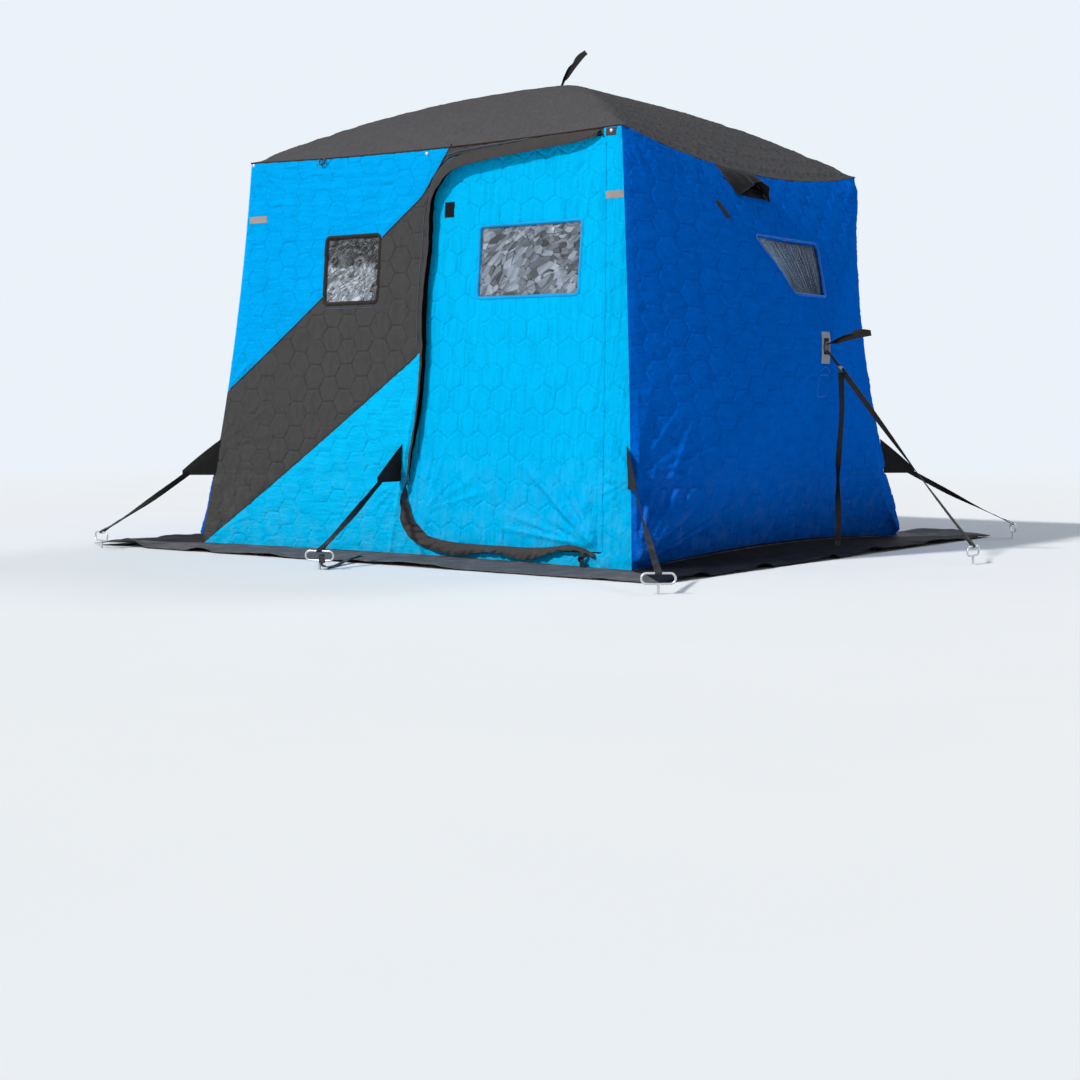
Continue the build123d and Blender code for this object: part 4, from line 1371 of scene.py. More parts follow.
BLUE_FRONT = QuiltedCloth("blue_quilt", (0.0006, 0.39, 0.89), streaks=(9.0, 34.0))
BLUE_DOOR = QuiltedCloth("blue_quilt_door", (0.0006, 0.49, 0.95), flat_top=False, streaks=(48.0, 5.0))
BLUE_LOWER = QuiltedCloth("blue_quilt_lower", (0.002, 0.51, 0.95), streaks=(9.0, 34.0))
# Shaded copy of the blue quilt: the same cloth as the front, in a darker blue that paints the shade on the side walls.
BLUE_SHADED = QuiltedCloth("blue_quilt_shaded", (0.0004, 0.132, 0.64), streaks=(14.0, 26.0), shaded_groove=0.86)
GREY_BAND = QuiltedCloth("grey_quilt", (0.072, 0.070, 0.070), streaks=(30.0, 12.0), shaded_groove=0.62)
GREY_ROOF = QuiltedCloth("grey_quilt_roof", (0.104, 0.102, 0.108), streaks=(60.0, 20.0), shaded_groove=0.86)
LINING = PlainCloth("dark_lining", (0.02, 0.022, 0.028), dust=0.0)
GREY_CLOTH = PlainCloth("grey_flap_cloth", (0.058, 0.053, 0.052), dust=0.05)
# Lit and shaded copies of one skirt cloth: the lighter copy paints the lit front skirt and serves the back; the
# near-black copy paints the shade of the side skirts.
SKIRT_CLOTH = PlainCloth("skirt_cloth", (0.105, 0.10, 0.105), dust=0.12, crease_scale=9.0)
SKIRT_SHADE = PlainCloth("skirt_cloth_side", (0.006, 0.006, 0.009), dust=0.012, crease_scale=9.0)
WEB_CLOTH = PlainCloth("gusset_cloth", (0.028, 0.026, 0.026), dust=0.05)
STRAP = Webbing("black_webbing", (0.014, 0.013, 0.013))
BINDING = Webbing("black_binding", (0.022, 0.017, 0.015), thread=(0.06, 0.06, 0.07))
BLUE_HEM = Webbing("blue_window_hem", (0.001, 0.34, 0.74), thread=(0.02, 0.10, 0.30), ribs=160.0)
# Shaded copy of the blue hem: a darker blue that paints the shade on the side walls, for their window hems and pocket
# stitching.
SHADED_HEM = Webbing("blue_hem_shaded", (0.001, 0.13, 0.60), thread=(0.10, 0.30, 0.75), ribs=160.0)
ZIP_TAPE = Webbing("zip_tape", (0.045, 0.043, 0.045), thread=(0.10, 0.22, 0.50), ribs=260.0)
PIPING = Webbing("dark_piping", (0.035, 0.020, 0.014))
SILVER_TAPE = Webbing("reflective_tape", (0.36, 0.31, 0.29), ribs=600.0, roughness=0.45)
PALE_TAPE = Webbing("hub_patch", (0.34, 0.35, 0.37), ribs=150.0)
HOOK_TAPE = PlainCloth("hook_tape", (0.010, 0.010, 0.012), threads=500.0, dust=0.0)
FILM_DOOR = ClearVinyl("crumpled_film", (0.035, 0.035, 0.04), (0.62, 0.72, 0.86), facets=8.0, clear=0.45)
FILM_FRONT = ClearVinyl("soft_film", (0.14, 0.14, 0.15), (0.92, 0.96, 1.0), facets=15.0, strength=0.45, clear=0.86,
                        ior=1.12)
FILM_LEFT = ClearVinyl("clear_film", (0.80, 0.84, 0.88), (0.97, 0.98, 1.0), facets=8.0, clear=0.92,
                       creases=0.2, ior=1.2)
FILM_SIDE = ClearVinyl("pleated_film", (0.07, 0.15, 0.30), (0.50, 0.66, 0.82), facets=5.0, strength=0.3, clear=0.93,
                       creases=0.0, glints=0.0, pleats=150.0, haze=(0.08, 0.16), ior=1.2)
ROD = Moulded("glass_fibre_rod", (0.62, 0.56, 0.40), roughness=0.35)
NYLON = Moulded("black_nylon", (0.02, 0.02, 0.022))
ZINC = BareMetal("zinc_wire", (0.72, 0.73, 0.75))
ALUMINIUM = BareMetal("bare_aluminium", (0.75, 0.76, 0.78), roughness=0.4)


def fit(piece: bpy.types.Object, slot: str, *finishes: Finish, body: str = "shelter",
        replaces: Sequence[str] = ()) -> bpy.types.Object:
    """Gives a new piece its finishes and body, and reports it.

    Args:
        piece: The new piece.
        slot: The record's material slot; not used.
        *finishes: Finishes, in the order of the mesh's material places.
        body: CAD body that it rides on.
        replaces: CAD nodes that it stands for.

    Returns:
        The same piece.
    """
    for finish in finishes:
        piece.data.materials.append(finish.material())
    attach(piece, body)
    if replaces:
        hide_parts(*replaces)
    log.info("%s: %d faces", piece.name, len(piece.data.polygons))
    return piece


# Sizes that the sub-assemblies share

@dataclass(frozen=True)
class Plan:
    """Main sizes of the pitched shelter, in metres, as the CAD has them."""

    base_half: float = 1.225
    top_half: float = 1.045
    wall_height: float = 1.8
    wall_foot: float = 0.0053
    peak: float = 2.19
    hub_reach: float = 1.44
    hub_height: float = 0.923
    hub_cap: float = 0.006

    def hinge_x(self, height: float) -> float:
        """Place of the door's hinge seam across the front wall at a height."""
        return 1.07105 - 0.112049 * (height - 0.00718) / 1.789661


PLAN = Plan()


def box_corners(left: float, foot: float, right: float, top: float) -> tuple[Pair, ...]:
    """Corners of an upright rectangle, counter-clockwise from the lower left one."""
    return (left, foot), (right, foot), (right, top), (left, top)


def window_loop(corners: Sequence[Pair], grow: float = 0.0, radius: float = 0.014, step: float = 0.012) -> Points:
    """Rounded outline of a window.

    Args:
        corners: Corners of the opening in the wall's pattern, counter-clockwise.
        grow: How far outside the opening it runs.
        radius: Corner radius of the opening.
        step: Longest run.

    Returns:
        The closed outline.
    """
    return rounded(moved_out(corners, grow), [radius + grow] * 4, step)


def between(corners: Sequence[Pair], step: float) -> tuple[Points, Points, Points]:
    """Even grid over a four-sided part of a pattern.

    Args:
        corners: Its corners, counter-clockwise from the lower left one.
        step: Size of its divisions.

    Returns:
        The pattern points by column and row, and their shares of the width and height.
    """
    a, b, c, d = (np.array(corner, float) for corner in corners)
    wide, high = max(np.linalg.norm(b - a), np.linalg.norm(c - d)), np.linalg.norm(d - a)
    u, v = np.meshgrid(np.linspace(0, 1, max(3, int(wide / step) + 2)),
                       np.linspace(0, 1, max(3, int(high / step) + 2)), indexing="ij")
    s, t = u[..., None], v[..., None]
    return a * (1 - s) * (1 - t) + b * s * (1 - t) + c * s * t + d * (1 - s) * t, u, v


def doorway_loop(grow: float, step: float = 0.012) -> Points:
    """D-shaped outline of the doorway, grown or shrunk all round.

    Args:
        grow: How far the outline moves out, or in where it is below zero.
        step: Spacing of the points on its rounded corners.

    Returns:
        Points of the closed outline.
    """
    sill, right, left = 0.066, 1.766, 1.738
    corners = [(0.06, sill), (PLAN.hinge_x(sill), sill), (PLAN.hinge_x(right), right), (0.06, left)]
    return rounded(moved_out(corners, grow), [0.22 + grow, 0, 0, 0.15 + grow], step)


def outline_of(*sides: Points) -> Points:
    """Closed outline from sides that follow each other."""
    return np.concatenate([side[:-1] for side in sides])


def over(surface: Surface, flat: Points, stand_off: float | Points = 0.0) -> Points:
    """Pattern points laid on a CAD surface, moved out along the facing."""
    return surface.facing.place(surface.lift(flat) + stand_off, flat)


def smoothed_line(line: Points, rounds: int = 3) -> Points:
    """Open line with its small steps evened out, ends kept.

    Args:
        line: Points of the line.
        rounds: How often it is evened out.

    Returns:
        The evened line.
    """
    line = line.copy()
    for _ in range(rounds):
        line[1:-1] = (line[:-2] + 2 * line[1:-1] + line[2:]) / 4
    return line


def laid_tape(surface: Surface, line: Points, width: float, stand: float = 0.0012, crown: float = 0.0006,
              thickness: float = 0.0015, closed: bool = False, across: int = 4) -> tuple[Points, list, Points]:
    """Tape that lies on a surface along a line of its pattern.

    Args:
        surface: What it lies on.
        line: Middle of the tape.
        width: Width of the tape.
        stand: Height of its edges over the surface.
        crown: How much higher its middle is.
        thickness: Thickness.
        closed: True for a loop.
        across: Number of strips.

    Returns:
        Vertices, faces and layout, as thick_grid gives them.
    """
    along = np.roll(line, -1, 0) - np.roll(line, 1, 0) if closed else np.gradient(line, axis=0)
    along = along / np.maximum(np.linalg.norm(along, axis=1, keepdims=True), 1e-9)
    outward = np.stack([along[:, 1], -along[:, 0]], 1)
    share = np.linspace(-1, 1, across + 1)
    flat = (line[:, None] + outward[:, None] * (share[None, :, None] * width / 2)).reshape(-1, 2)
    raw = surface.lift(flat).reshape(len(line), -1)
    lift = raw.copy()
    for _ in range(3):
        lift[1:-1] = np.maximum((lift[:-2] + 2 * lift[1:-1] + lift[2:]) / 4, raw[1:-1])
    lift = lift + stand + crown * (1 - share ** 2)
    points = surface.facing.place(lift.ravel(), flat).reshape(len(line), -1, 3)
    return thick_grid(points, thickness, closed)


def patch(surface: Surface, corners: Sequence[Pair], stand: float = 0.0015, thickness: float = 0.0015,
          step: float = 0.006) -> tuple[Points, list, Points]:
    """Four-sided patch of cloth sewn flat on a surface.

    Args:
        surface: What it lies on.
        corners: Its corners in the pattern, counter-clockwise.
        stand: Height of its face over the surface.
        thickness: Thickness.
        step: Size of its divisions.

    Returns:
        Vertices, faces and layout, as thick_grid gives them.
    """
    flat = between(corners, step)[0]
    raw = surface.lift(flat.reshape(-1, 2)).reshape(flat.shape[:2])
    lift = raw.copy()
    for _ in range(4):
        lift[1:-1, 1:-1] = (lift[:-2, 1:-1] + lift[2:, 1:-1] + lift[1:-1, :-2] + lift[1:-1, 2:]) / 4
        lift = np.maximum(lift, raw)
    points = surface.facing.place((lift + stand).ravel(), flat.reshape(-1, 2)).reshape(*raw.shape, 3)
    return thick_grid(points[:, ::-1], thickness)


def mirror(*pieces: bpy.types.Object) -> None:
    """Turns pieces into their mirror images on the other side of the shelter.

    Args:
        pieces: Pieces made for the right side.
    """
    for piece in pieces:
        piece.data.transform(Matrix.Diagonal((-1, 1, 1, 1)))
        piece.data.flip_normals()


# Sub-assemblies

@dataclass
class HubWall:
    """One wall pushed out by its hub: quilted skin with its patches and pocket."""

    side: str
    facing: Facing
    mirrored: bool = False
    near_draw: float = 0.032
    far_draw: float = -0.045
    window: tuple[Pair, ...] = ((-0.195, 1.152), (0.075, 1.152), (0.185, 1.388), (-0.39, 1.388))
    vent: Optional[tuple[float, float, float, float]] = (-0.285, 1.606, -0.095, 1.662)
    top_draw: float = -0.1
    foot_draw: float = 0.048
    seam_heights: tuple[float, float] = (0.335, 0.350)
    hub_patch: tuple[float, float, float, float] = (-0.038, 0.850, 0.038, 0.990)
    hub_hole: tuple[float, float, float, float] = (-0.021, 0.890, 0.021, 0.962)
    pocket: tuple[float, float, float, float] = (-0.045, 0.705, 0.045, 0.800)
    hook: tuple[Pair, ...] = ((-0.578, 1.448), (-0.538, 1.452), (-0.574, 1.526), (-0.616, 1.520))
    vent_rim: float = 0.034
    # The side walls get the darker blue of painted shade.
    finish: QuiltedCloth = BLUE_SHADED

    def outline(self) -> Points:
        """Outline of the wall's cut, counter-clockwise from its near foot."""
        low, high, b, t = PLAN.wall_foot, PLAN.wall_height, PLAN.base_half, PLAN.top_half
        return outline_of(
            bowed((-b, low), (b, low), (0, self.foot_draw), 200),
            bowed((b, low), (t, high), (self.far_draw, 0), 150),
            bowed((t, high), (-t, high), (0, self.top_draw), 170),
            bowed((-t, high), (-b, low), (self.near_draw, 0), 150))

    def folds(self) -> list[Fold]:
        """Creases that spread from the corners, the gussets and the hub."""
        b, t = PLAN.base_half, PLAN.top_half
        seed = {"right": 11, "left": 12, "back": 13}[self.side]
        return [
            *fan((-b + 0.02, 0.03), 20, 84, 13, 0.60, 0.012, 0.012, seed),
            *fan((b - 0.03, 0.03), 104, 158, 11, 0.46, 0.008, 0.012, seed + 10),
            *fan((-b + 0.05, 0.36), 5, 75, 7, 0.36, 0.007, 0.011, seed + 50),
            *fan((b - 0.10, 0.36), 115, 170, 6, 0.30, 0.0045, 0.010, seed + 60),
            *fan((-t + 0.02, 1.78), -75, -15, 8, 0.34, 0.005, 0.010, seed + 20),
            *fan((t - 0.08, 1.76), 195, 250, 8, 0.30, 0.0045, 0.010, seed + 30),
            *fan((0.0, PLAN.hub_height), 20, 340, 14, 0.30, 0.0030, 0.012, seed + 40),
        ]

    def skin(self) -> bpy.types.Object:
        """Quilted skin with its window and vent cut through."""
        side = "right" if self.mirrored else self.side
        surface = Surface(self.facing, *(f"{side}_{part}" for part in ("wall", "window_pane", "window_binding")))
        holes = [window_loop(self.window)]
        if self.vent:
            left, foot, right, top = self.vent
            holes.append(rounded(box_corners(left, foot, right, top), [0.0279] * 4, 0.008))
        seams = [np.array([(-1.3, z), (1.3, z)]) for z in self.seam_heights]
        folds = self.folds()
        flat, tris = Pattern(self.outline(), holes, seams, HexQuilt(), folds).cut()
        pressed = [np.array(box_corners(*self.hub_patch)), np.array(box_corners(*self.pocket))]
        return SewnSheet(f"{self.side}_wall_cloth", surface, flat, tris, HexQuilt(), seams, folds,
                         gathers=0.6, pressed=pressed).build()

    def trim(self) -> list[tuple[bpy.types.Object, str, Finish]]:
        """Patches, stitched pocket and ring on the skin, each with its slot and finish."""
        skin = Surface(self.facing, f"{self.side}_wall_cloth")
        pale, dark, thread = Soup(), Soup(), Soup()
        pale.add(*patch(skin, box_corners(*self.hub_patch), 0.0012))
        dark.add(*patch(skin, box_corners(*self.hub_hole), 0.0032))
        if self.vent:
            dark.add(*patch(skin, self.hook))
            left, foot, right, top = self.vent
            rim = self.vent_rim
            for corners in ((left - rim, foot - rim, right + rim, foot - 0.002),
                            (left - rim, top + 0.002, right + rim, top + rim),
                            (left - rim, foot - 0.002, left - 0.002, top + 0.002),
                            (right + 0.002, foot - 0.002, right + rim, top + 0.002)):
                dark.add(*patch(skin, box_corners(*corners), 0.0022))
            slot = rounded(box_corners(*self.vent), [0.0279] * 4, 0.008)
            dark.add(*laid_tape(skin, slot, 0.016, 0.003, 0.001, 0.009, closed=True))
        left, foot, right, top = self.pocket
        square = rounded(box_corners(left, foot, right, top), [0.016] * 4, 0.006)
        thread.add(*laid_tape(skin, square, 0.0035, 0.0008, 0.0008, closed=True, across=2))
        curve = bowed((left, top + 0.012), (right, top + 0.012), (0, 0.022), 16)
        thread.add(*laid_tape(skin, curve, 0.0035, 0.0008, 0.0008, across=2))
        return [(pale.piece(f"{self.side}_hub_patch"), "grey_cloth", PALE_TAPE),
                (dark.piece(f"{self.side}_dark_patches"), "black_webbing", HOOK_TAPE),
                (thread.piece(f"{self.side}_pocket_stitching"), "blue_cloth", SHADED_HEM)]

    def build(self) -> None:
        """Makes the wall's pieces."""
        skin = self.skin()
        trim = self.trim()
        if self.mirrored:
            mirror(skin, *(piece for piece, _, _ in trim))
        fit(skin, "blue_cloth", self.finish, LINING, replaces=[f"{self.side}_wall"])
        for piece, slot, finish in trim:
            fit(piece, slot, finish)


@dataclass
class FrontWall:
    """Flat front wall in its coloured panels, round the doorway and a window."""

    window: tuple[Pair, ...] = box_corners(-0.545, 1.126, -0.232, 1.414)
    band_upper: tuple[Pair, ...] = ((-1.3, 0.605), (0.01, 1.572), (0.186, 1.83), (0.186, 1.85))
    band_lower: tuple[Pair, ...] = ((-1.3, -0.056), (0.1, 0.934))
    split: float = 0.1
    sill_top: float = 0.366
    corner_draw: float = 0.012
    header_sag: float = 0.02
    foot_rise: float = 0.008
    names: tuple[str, ...] = ("upper", "band", "lower", "header", "hinge", "sill")

    def outline(self) -> Points:
        """Outline of the whole wall."""
        low, high, b, t = PLAN.wall_foot, PLAN.wall_height, PLAN.base_half, PLAN.top_half
        return outline_of(
            bowed((-b, low), (b, low), (0, self.foot_rise), 200),
            bowed((b, low), (t, high), (-self.corner_draw, 0), 150),
            bowed((t, high), (-t, high), (0, -self.header_sag), 170),
            bowed((-t, high), (-b, low), (self.corner_draw, 0), 150))

    def regions(self) -> dict[str, Points]:
        """Outline of each coloured panel, by its name."""
        hx = PLAN.hinge_x
        upper, lower = list(self.band_upper), list(self.band_lower)
        return {
            "front_upper": np.array([*upper, (-1.3, 1.9)]),
            "front_band": np.array([*upper, lower[1], lower[0]]),
            "front_lower": np.array([*lower, (self.split, -0.1), (-1.3, -0.1)]),
            "front_header": np.array([lower[1], upper[3], (hx(1.85), 1.85), (hx(0.934), 0.934)]),
            "front_hinge": np.array([(hx(-0.1), -0.1), (1.3, -0.1), (1.3, 1.9), (hx(1.9), 1.9)]),
            "front_sill": np.array([(self.split, -0.1), (hx(-0.1), -0.1), (hx(self.sill_top), self.sill_top),
                                    (self.split, self.sill_top)]),
        }

    def folds(self) -> dict[str, list[Fold]]:
        """Creases of each panel."""
        wide = [(-0.95, 1.60, 0.32), (-0.62, 1.655, 0.42), (-0.72, 1.585, 0.36), (-0.30, 1.70, 0.30),
                (-0.36, 1.60, 0.30),
                (-0.55, 1.52, 0.30), (-0.22, 1.655, 0.26), (-0.60, 1.72, 0.34), (-0.28, 1.535, 0.22)]
        return {
            "front_upper": [
                *fan((-1.03, 1.77), -80, -12, 8, 0.36, 0.005, 0.011, 51),
                *[Fold((x - w / 2, z + 0.012), (x + w / 2, z - 0.012), 0.0034, 0.009) for x, z, w in wide],
                *fan((-1.17, 0.72), -10, 60, 5, 0.4, 0.004, 0.012, 52),
                *fan((-0.24, 1.45), 20, 110, 5, 0.22, 0.004, 0.010, 58),
            ],
            "front_band": fan((-1.19, 0.45), 5, 60, 6, 0.45, 0.004, 0.012, 53),
            "front_lower": [
                *fan((-1.19, 0.05), 15, 80, 9, 0.36, 0.006, 0.011, 54),
                *fan((-0.03, 0.40), 40, 140, 6, 0.34, 0.004, 0.012, 55),
                *fan((-0.03, 0.32), 200, 340, 8, 0.28, 0.006, 0.011, 56),
                Fold((0.035, 0.693), (-0.056, 0.016), 0.012, 0.012),
            ],
            "front_header": [],
            "front_hinge": fan((1.19, 0.36), 120, 235, 8, 0.26, 0.006, 0.010, 57),
            "front_sill": [],
        }

    def panels(self) -> None:
        """The quilted panels, which share their seams."""
        surface = Surface(Facing.FRONT, *(f"front_{name}_panel" for name in self.names), "door_panel")
        hem = [np.array([(-1.3, z), (0.1, z)]) for z in (0.335, 0.350)]
        hinge = np.array([(PLAN.hinge_x(-0.1), -0.1), (PLAN.hinge_x(1.9), 1.9)])
        seams = [np.array(self.band_upper), np.array(self.band_lower),
                 np.array([self.band_lower[1], self.band_upper[3]]),
                 np.array([self.band_lower[1], (self.split, -0.1)]), hinge, *hem]
        folds = self.folds()
        flat, tris = Pattern(self.outline(), [doorway_loop(0.0), window_loop(self.window)], seams, HexQuilt(),
                             sum(folds.values(), [])).cut()
        middles = flat[tris].mean(1)
        looks = {"front_band": GREY_BAND, "front_header": GREY_BAND, "front_hinge": BLUE_DOOR,
                 "front_upper": BLUE_FRONT}
        for name, region in self.regions().items():
            mine = tris[is_inside(middles, *runs_of([region]))]
            quilt = HexQuilt(flat_top=name != "front_hinge")
            sheet = SewnSheet(f"{name}_cloth", surface, flat, mine, quilt, hem, folds[name],
                              hinged=name == "front_hinge")
            slot = "grey_cloth" if name in ("front_band", "front_header") else "blue_cloth"
            fit(sheet.build(), slot, looks.get(name, BLUE_LOWER), LINING, replaces=[f"{name}_panel"])

    def trim(self) -> None:
        """Piping on the band's borders, zip tape, reflective strips, rivets and ring."""
        skin = Surface(Facing.FRONT, *(f"front_{name}_cloth" for name in self.names))
        edge = Soup()
        for corners in (((-1.125, 0.734), (-0.562, 1.149)), ((-0.212, 1.408), self.band_upper[1], (0.166, 1.790)),
                        ((-1.21, 0.008), (0.022, 0.879))):
            line = smoothed_line(divided(np.array(corners), 0.012), 4)
            edge.add(*laid_tape(skin, line, 0.0055, 0.0012, 0.0022, 0.002))
        fit(edge.piece("band_piping"), "black_binding", PIPING)
        bright = Soup()
        bright.add(*patch(skin, box_corners(-1.043, 1.512, -0.935, 1.544)))
        bright.add(*patch(skin, box_corners(0.978, 1.502, 1.066, 1.532)))
        fit(bright.piece("reflective_strips"), "grey_cloth", SILVER_TAPE)
        zips = Soup()
        over_door = through([(0.13, 1.742), (0.20, 1.755), (0.30, 1.763), (0.45, 1.772), (0.58, 1.778)], 60)
        beside = through([(0.062, 1.625), (0.036, 1.56), (0.026, 1.48), (0.022, 1.35), (0.012, 1.13),
                          (0.018, 0.93)], 120)
        zips.add(*laid_tape(skin, over_door, 0.009, 0.0012, 0.0006))
        zips.add(*laid_tape(skin, beside, 0.009, 0.0012, 0.0006))
        zips.add(*laid_tape(skin, divided(np.array([(-0.56, 1.098), (-0.20, 1.098)]), 0.01), 0.005))
        zips.add(*patch(skin, box_corners(0.975, 1.757, 1.025, 1.790), 0.0025))
        fit(zips.piece("front_zip_tape"), "grey_cloth", ZIP_TAPE)
        metal = Soup()
        for x, z in ((-1.028, 1.783), (0.025, 1.759), (1.0, 1.776)):
            middle = over(skin, np.array([(x, z)]), 0.001)[0]
            metal.add(*turned([(0, -0.004), (0.008, -0.003), (0.0085, 0.001), (0.006, 0.0035), (0.003, 0.0045),
                               (0, 0.0047)], middle, (0, -1, 0.1), 16))
        fit(metal.piece("corner_rivets"), "zinc_wire", ZINC)
        ring = Soup()
        middle = over(skin, np.array([(-0.584, 1.770)]), 0.010)[0]
        turn = np.linspace(0, 2 * math.pi, 33)[:-1]
        hoop = middle + 0.016 * np.stack([np.cos(turn), 0.25 * np.sin(turn), np.sin(turn)], 1)
        ring.add(*tube(hoop, 0.0042, 10, closed=True))
        fit(ring.piece("header_ring"), "black_plastic", NYLON)

    def build(self) -> None:
        """Makes the panels and their trim."""
        self.panels()
        self.trim()


@dataclass
class StormFlap:
    """Flap over the door's zip: sewn along one line, loose and standing off along the other."""

    sewn: tuple[Pair, ...] = (
        (0.948, 1.782), (0.86, 1.781), (0.705, 1.779), (0.466, 1.761), (0.263, 1.743), (0.163, 1.719), (0.095, 1.672),
        (0.058, 1.60), (0.048, 1.5), (0.052, 1.337), (0.031, 1.12), (0.051, 0.876), (0.045, 0.632), (0.024, 0.45),
        (0.020, 0.33), (0.026, 0.275), (0.040, 0.235), (0.060, 0.19), (0.082, 0.160), (0.115, 0.128), (0.156, 0.100),
        (0.24, 0.084), (0.344, 0.076), (0.46, 0.074), (0.56, 0.074), (0.683, 0.074), (0.78, 0.078), (0.848, 0.086),
        (0.913, 0.095), (0.97, 0.090), (1.02, 0.074), (1.045, 0.064))
    loose: tuple[Pair, ...] = (
        (0.940, 1.758), (0.86, 1.740), (0.708, 1.726), (0.47, 1.706), (0.265, 1.682), (0.190, 1.654), (0.137, 1.603),
        (0.107, 1.55), (0.098, 1.47), (0.099, 1.337), (0.080, 1.12), (0.093, 0.876), (0.082, 0.632), (0.056, 0.45),
        (0.036, 0.335), (0.016, 0.262), (0.012, 0.205), (0.014, 0.165), (0.028, 0.127), (0.066, 0.092), (0.122, 0.058),
        (0.228, 0.036), (0.348, 0.024), (0.455, 0.042), (0.545, 0.046), (0.683, 0.024), (0.78, 0.042), (0.849, 0.062),
        (0.92, 0.074), (0.985, 0.068), (1.03, 0.054), (1.05, 0.046))
    stand: tuple[float, ...] = (
        0.014, 0.028, 0.038, 0.044, 0.046, 0.048, 0.048, 0.048, 0.048, 0.047, 0.046, 0.044, 0.040, 0.034,
        0.026, 0.034, 0.024, 0.028, 0.018, 0.024, 0.016, 0.020, 0.018, 0.024, 0.026, 0.016, 0.026, 0.030,
        0.026, 0.020, 0.014, 0.010)
    crumpled: tuple[float, float] = (13.6, 21.5)
    rows: int = 620
    columns: int = 10
    thickness: float = 0.0022
    tab: tuple[float, float, float] = (0.992, 0.062, 0.012)

    def cloth(self, surface: Surface) -> tuple[Points, list, Points]:
        """The flap, gathered and crumpled at its lower corner.

        Args:
            surface: What the flap lies over.

        Returns:
            Vertices, faces and layout, as thick_grid gives them.
        """
        sewn, loose = through(self.sewn, self.rows), through(self.loose, self.rows)
        stand = through(np.array(self.stand)[:, None], self.rows)[:, 0]
        station = np.linspace(0, len(self.sewn) - 1, self.rows)
        first, last = self.crumpled
        crush = ramp(station, first, first + 0.8) * (1 - ramp(station, last - 3.5, last + 2.0))
        run = np.concatenate([[0], np.cumsum(np.linalg.norm(np.diff(sewn, axis=0), axis=1))])
        share = np.linspace(0, 1, self.columns)
        flat = sewn[:, None] * (1 - share[None, :, None]) + loose[:, None] * share[None, :, None]
        base = surface.lift(flat.reshape(-1, 2)).reshape(self.rows, -1)
        top = base.max(axis=1, keepdims=True)
        for _ in range(6):
            top[1:-1] = np.maximum((top[:-2] + 2 * top[1:-1] + top[2:]) / 4, top[1:-1])
        bulge = 0.010 * np.sin(math.pi * share)
        rise = 0.004 + (stand[:, None] - 0.004) * share[None, :] ** 1.2 + bulge[None, :]
        waves = np.zeros_like(rise)
        slide = np.zeros((self.rows, self.columns, 2))
        for i, j in np.ndindex(*rise.shape):
            s, t = run[i], share[j]
            waves[i, j] = 0.0035 * noise.noise(Vector((s * 8, t * 1.5, 0.3))) * t
            waves[i, j] += 0.0022 * noise.noise(Vector((s * 30, t * 2.5, 4.1))) * (0.3 + t)
            folds = noise.noise(Vector((s * 38 + 3.0 * t, t * 1.6, 8.2)))
            waves[i, j] += crush[i] * 0.021 * folds * (0.25 + 0.75 * math.sin(math.pi * min(1.0, t + 0.25)))
            if station[i] > last:
                waves[i, j] += 0.006 * noise.noise(Vector((s * 46 + 2.0 * t, t * 1.2, 6.6))) * (0.2 + t)
            slide[i, j, 1] = crush[i] * 0.006 * noise.noise(Vector((s * 30, t * 2.0, 2.2)))
        lift = np.maximum(top * 0.65 + base * 0.35, base) + np.maximum(rise + waves, 0.003)
        points = surface.facing.place(lift.ravel(), (flat + slide).reshape(-1, 2)).reshape(self.rows, -1, 3)
        return thick_grid(points, self.thickness)

    def web(self, surface: Surface) -> tuple[Points, list, Points]:
        """Dark web that joins the flap to the leaf beneath it, a dark sheet that paints the shade under the flap.

        Args:
            surface: What the web lies on.

        Returns:
            Vertices, faces and layout, as thick_grid gives them.
        """
        count = self.rows // 2
        sewn, loose = through(self.sewn[:15], count), through(self.loose[:15], count)
        reach = (0.62 - 0.34 * ramp(np.linspace(0, 1, count), 0.8, 1.0)
                 - 0.25 * ramp(np.linspace(1, 0, count), 0.85, 1.0))
        share = 0.04 + np.outer(reach, np.linspace(0, 1, 6))[:, :, None]
        flat = sewn[:, None] * (1 - share) + loose[:, None] * share
        base = surface.lift(flat.reshape(-1, 2)).reshape(count, -1)
        for _ in range(3):
            base[1:-1] = np.maximum((base[:-2] + 2 * base[1:-1] + base[2:]) / 4, base[1:-1])
        points = surface.facing.place((base + 0.0022).ravel(), flat.reshape(-1, 2)).reshape(count, -1, 3)
        return thick_grid(points, 0.0015)

    def covered(self) -> Points:
        """Part of the doorway's edge, round its lower corner, that a strip of the leaf's cloth covers."""
        loop = doorway_loop(-0.003, 0.008)
        near = loop[(loop[:, 0] < 0.40) & (loop[:, 1] < 0.46)]
        return near[np.argsort(np.arctan2(near[:, 1] - 0.46, near[:, 0] - 0.40))]

    def pull_tab(self, surface: Surface) -> tuple[Points, list, Points]:
        """Short webbing tab that hangs off the flap's lower end.

        Args:
            surface: What the tab hangs over.

        Returns:
            Vertices, faces and layout, as ribbon gives them.
        """
        x, top, foot = self.tab
        heights = np.linspace(top, foot, 26)
        out = over(surface, np.array([(x, top)]), 0.026)[0]
        path = np.array([(x + 0.006 * math.sin(k * 0.42), out[1] - 0.004 * math.sin(k * 0.35), z)
                         for k, z in enumerate(heights)])
        turn = 0.7 * np.sin(np.linspace(0, 5.5, len(path)))
        normals = np.stack([np.sin(turn), -np.cos(turn), np.zeros(len(path))], 1)
        return ribbon(path, normals, 0.024, 0.0018, 0.0006)

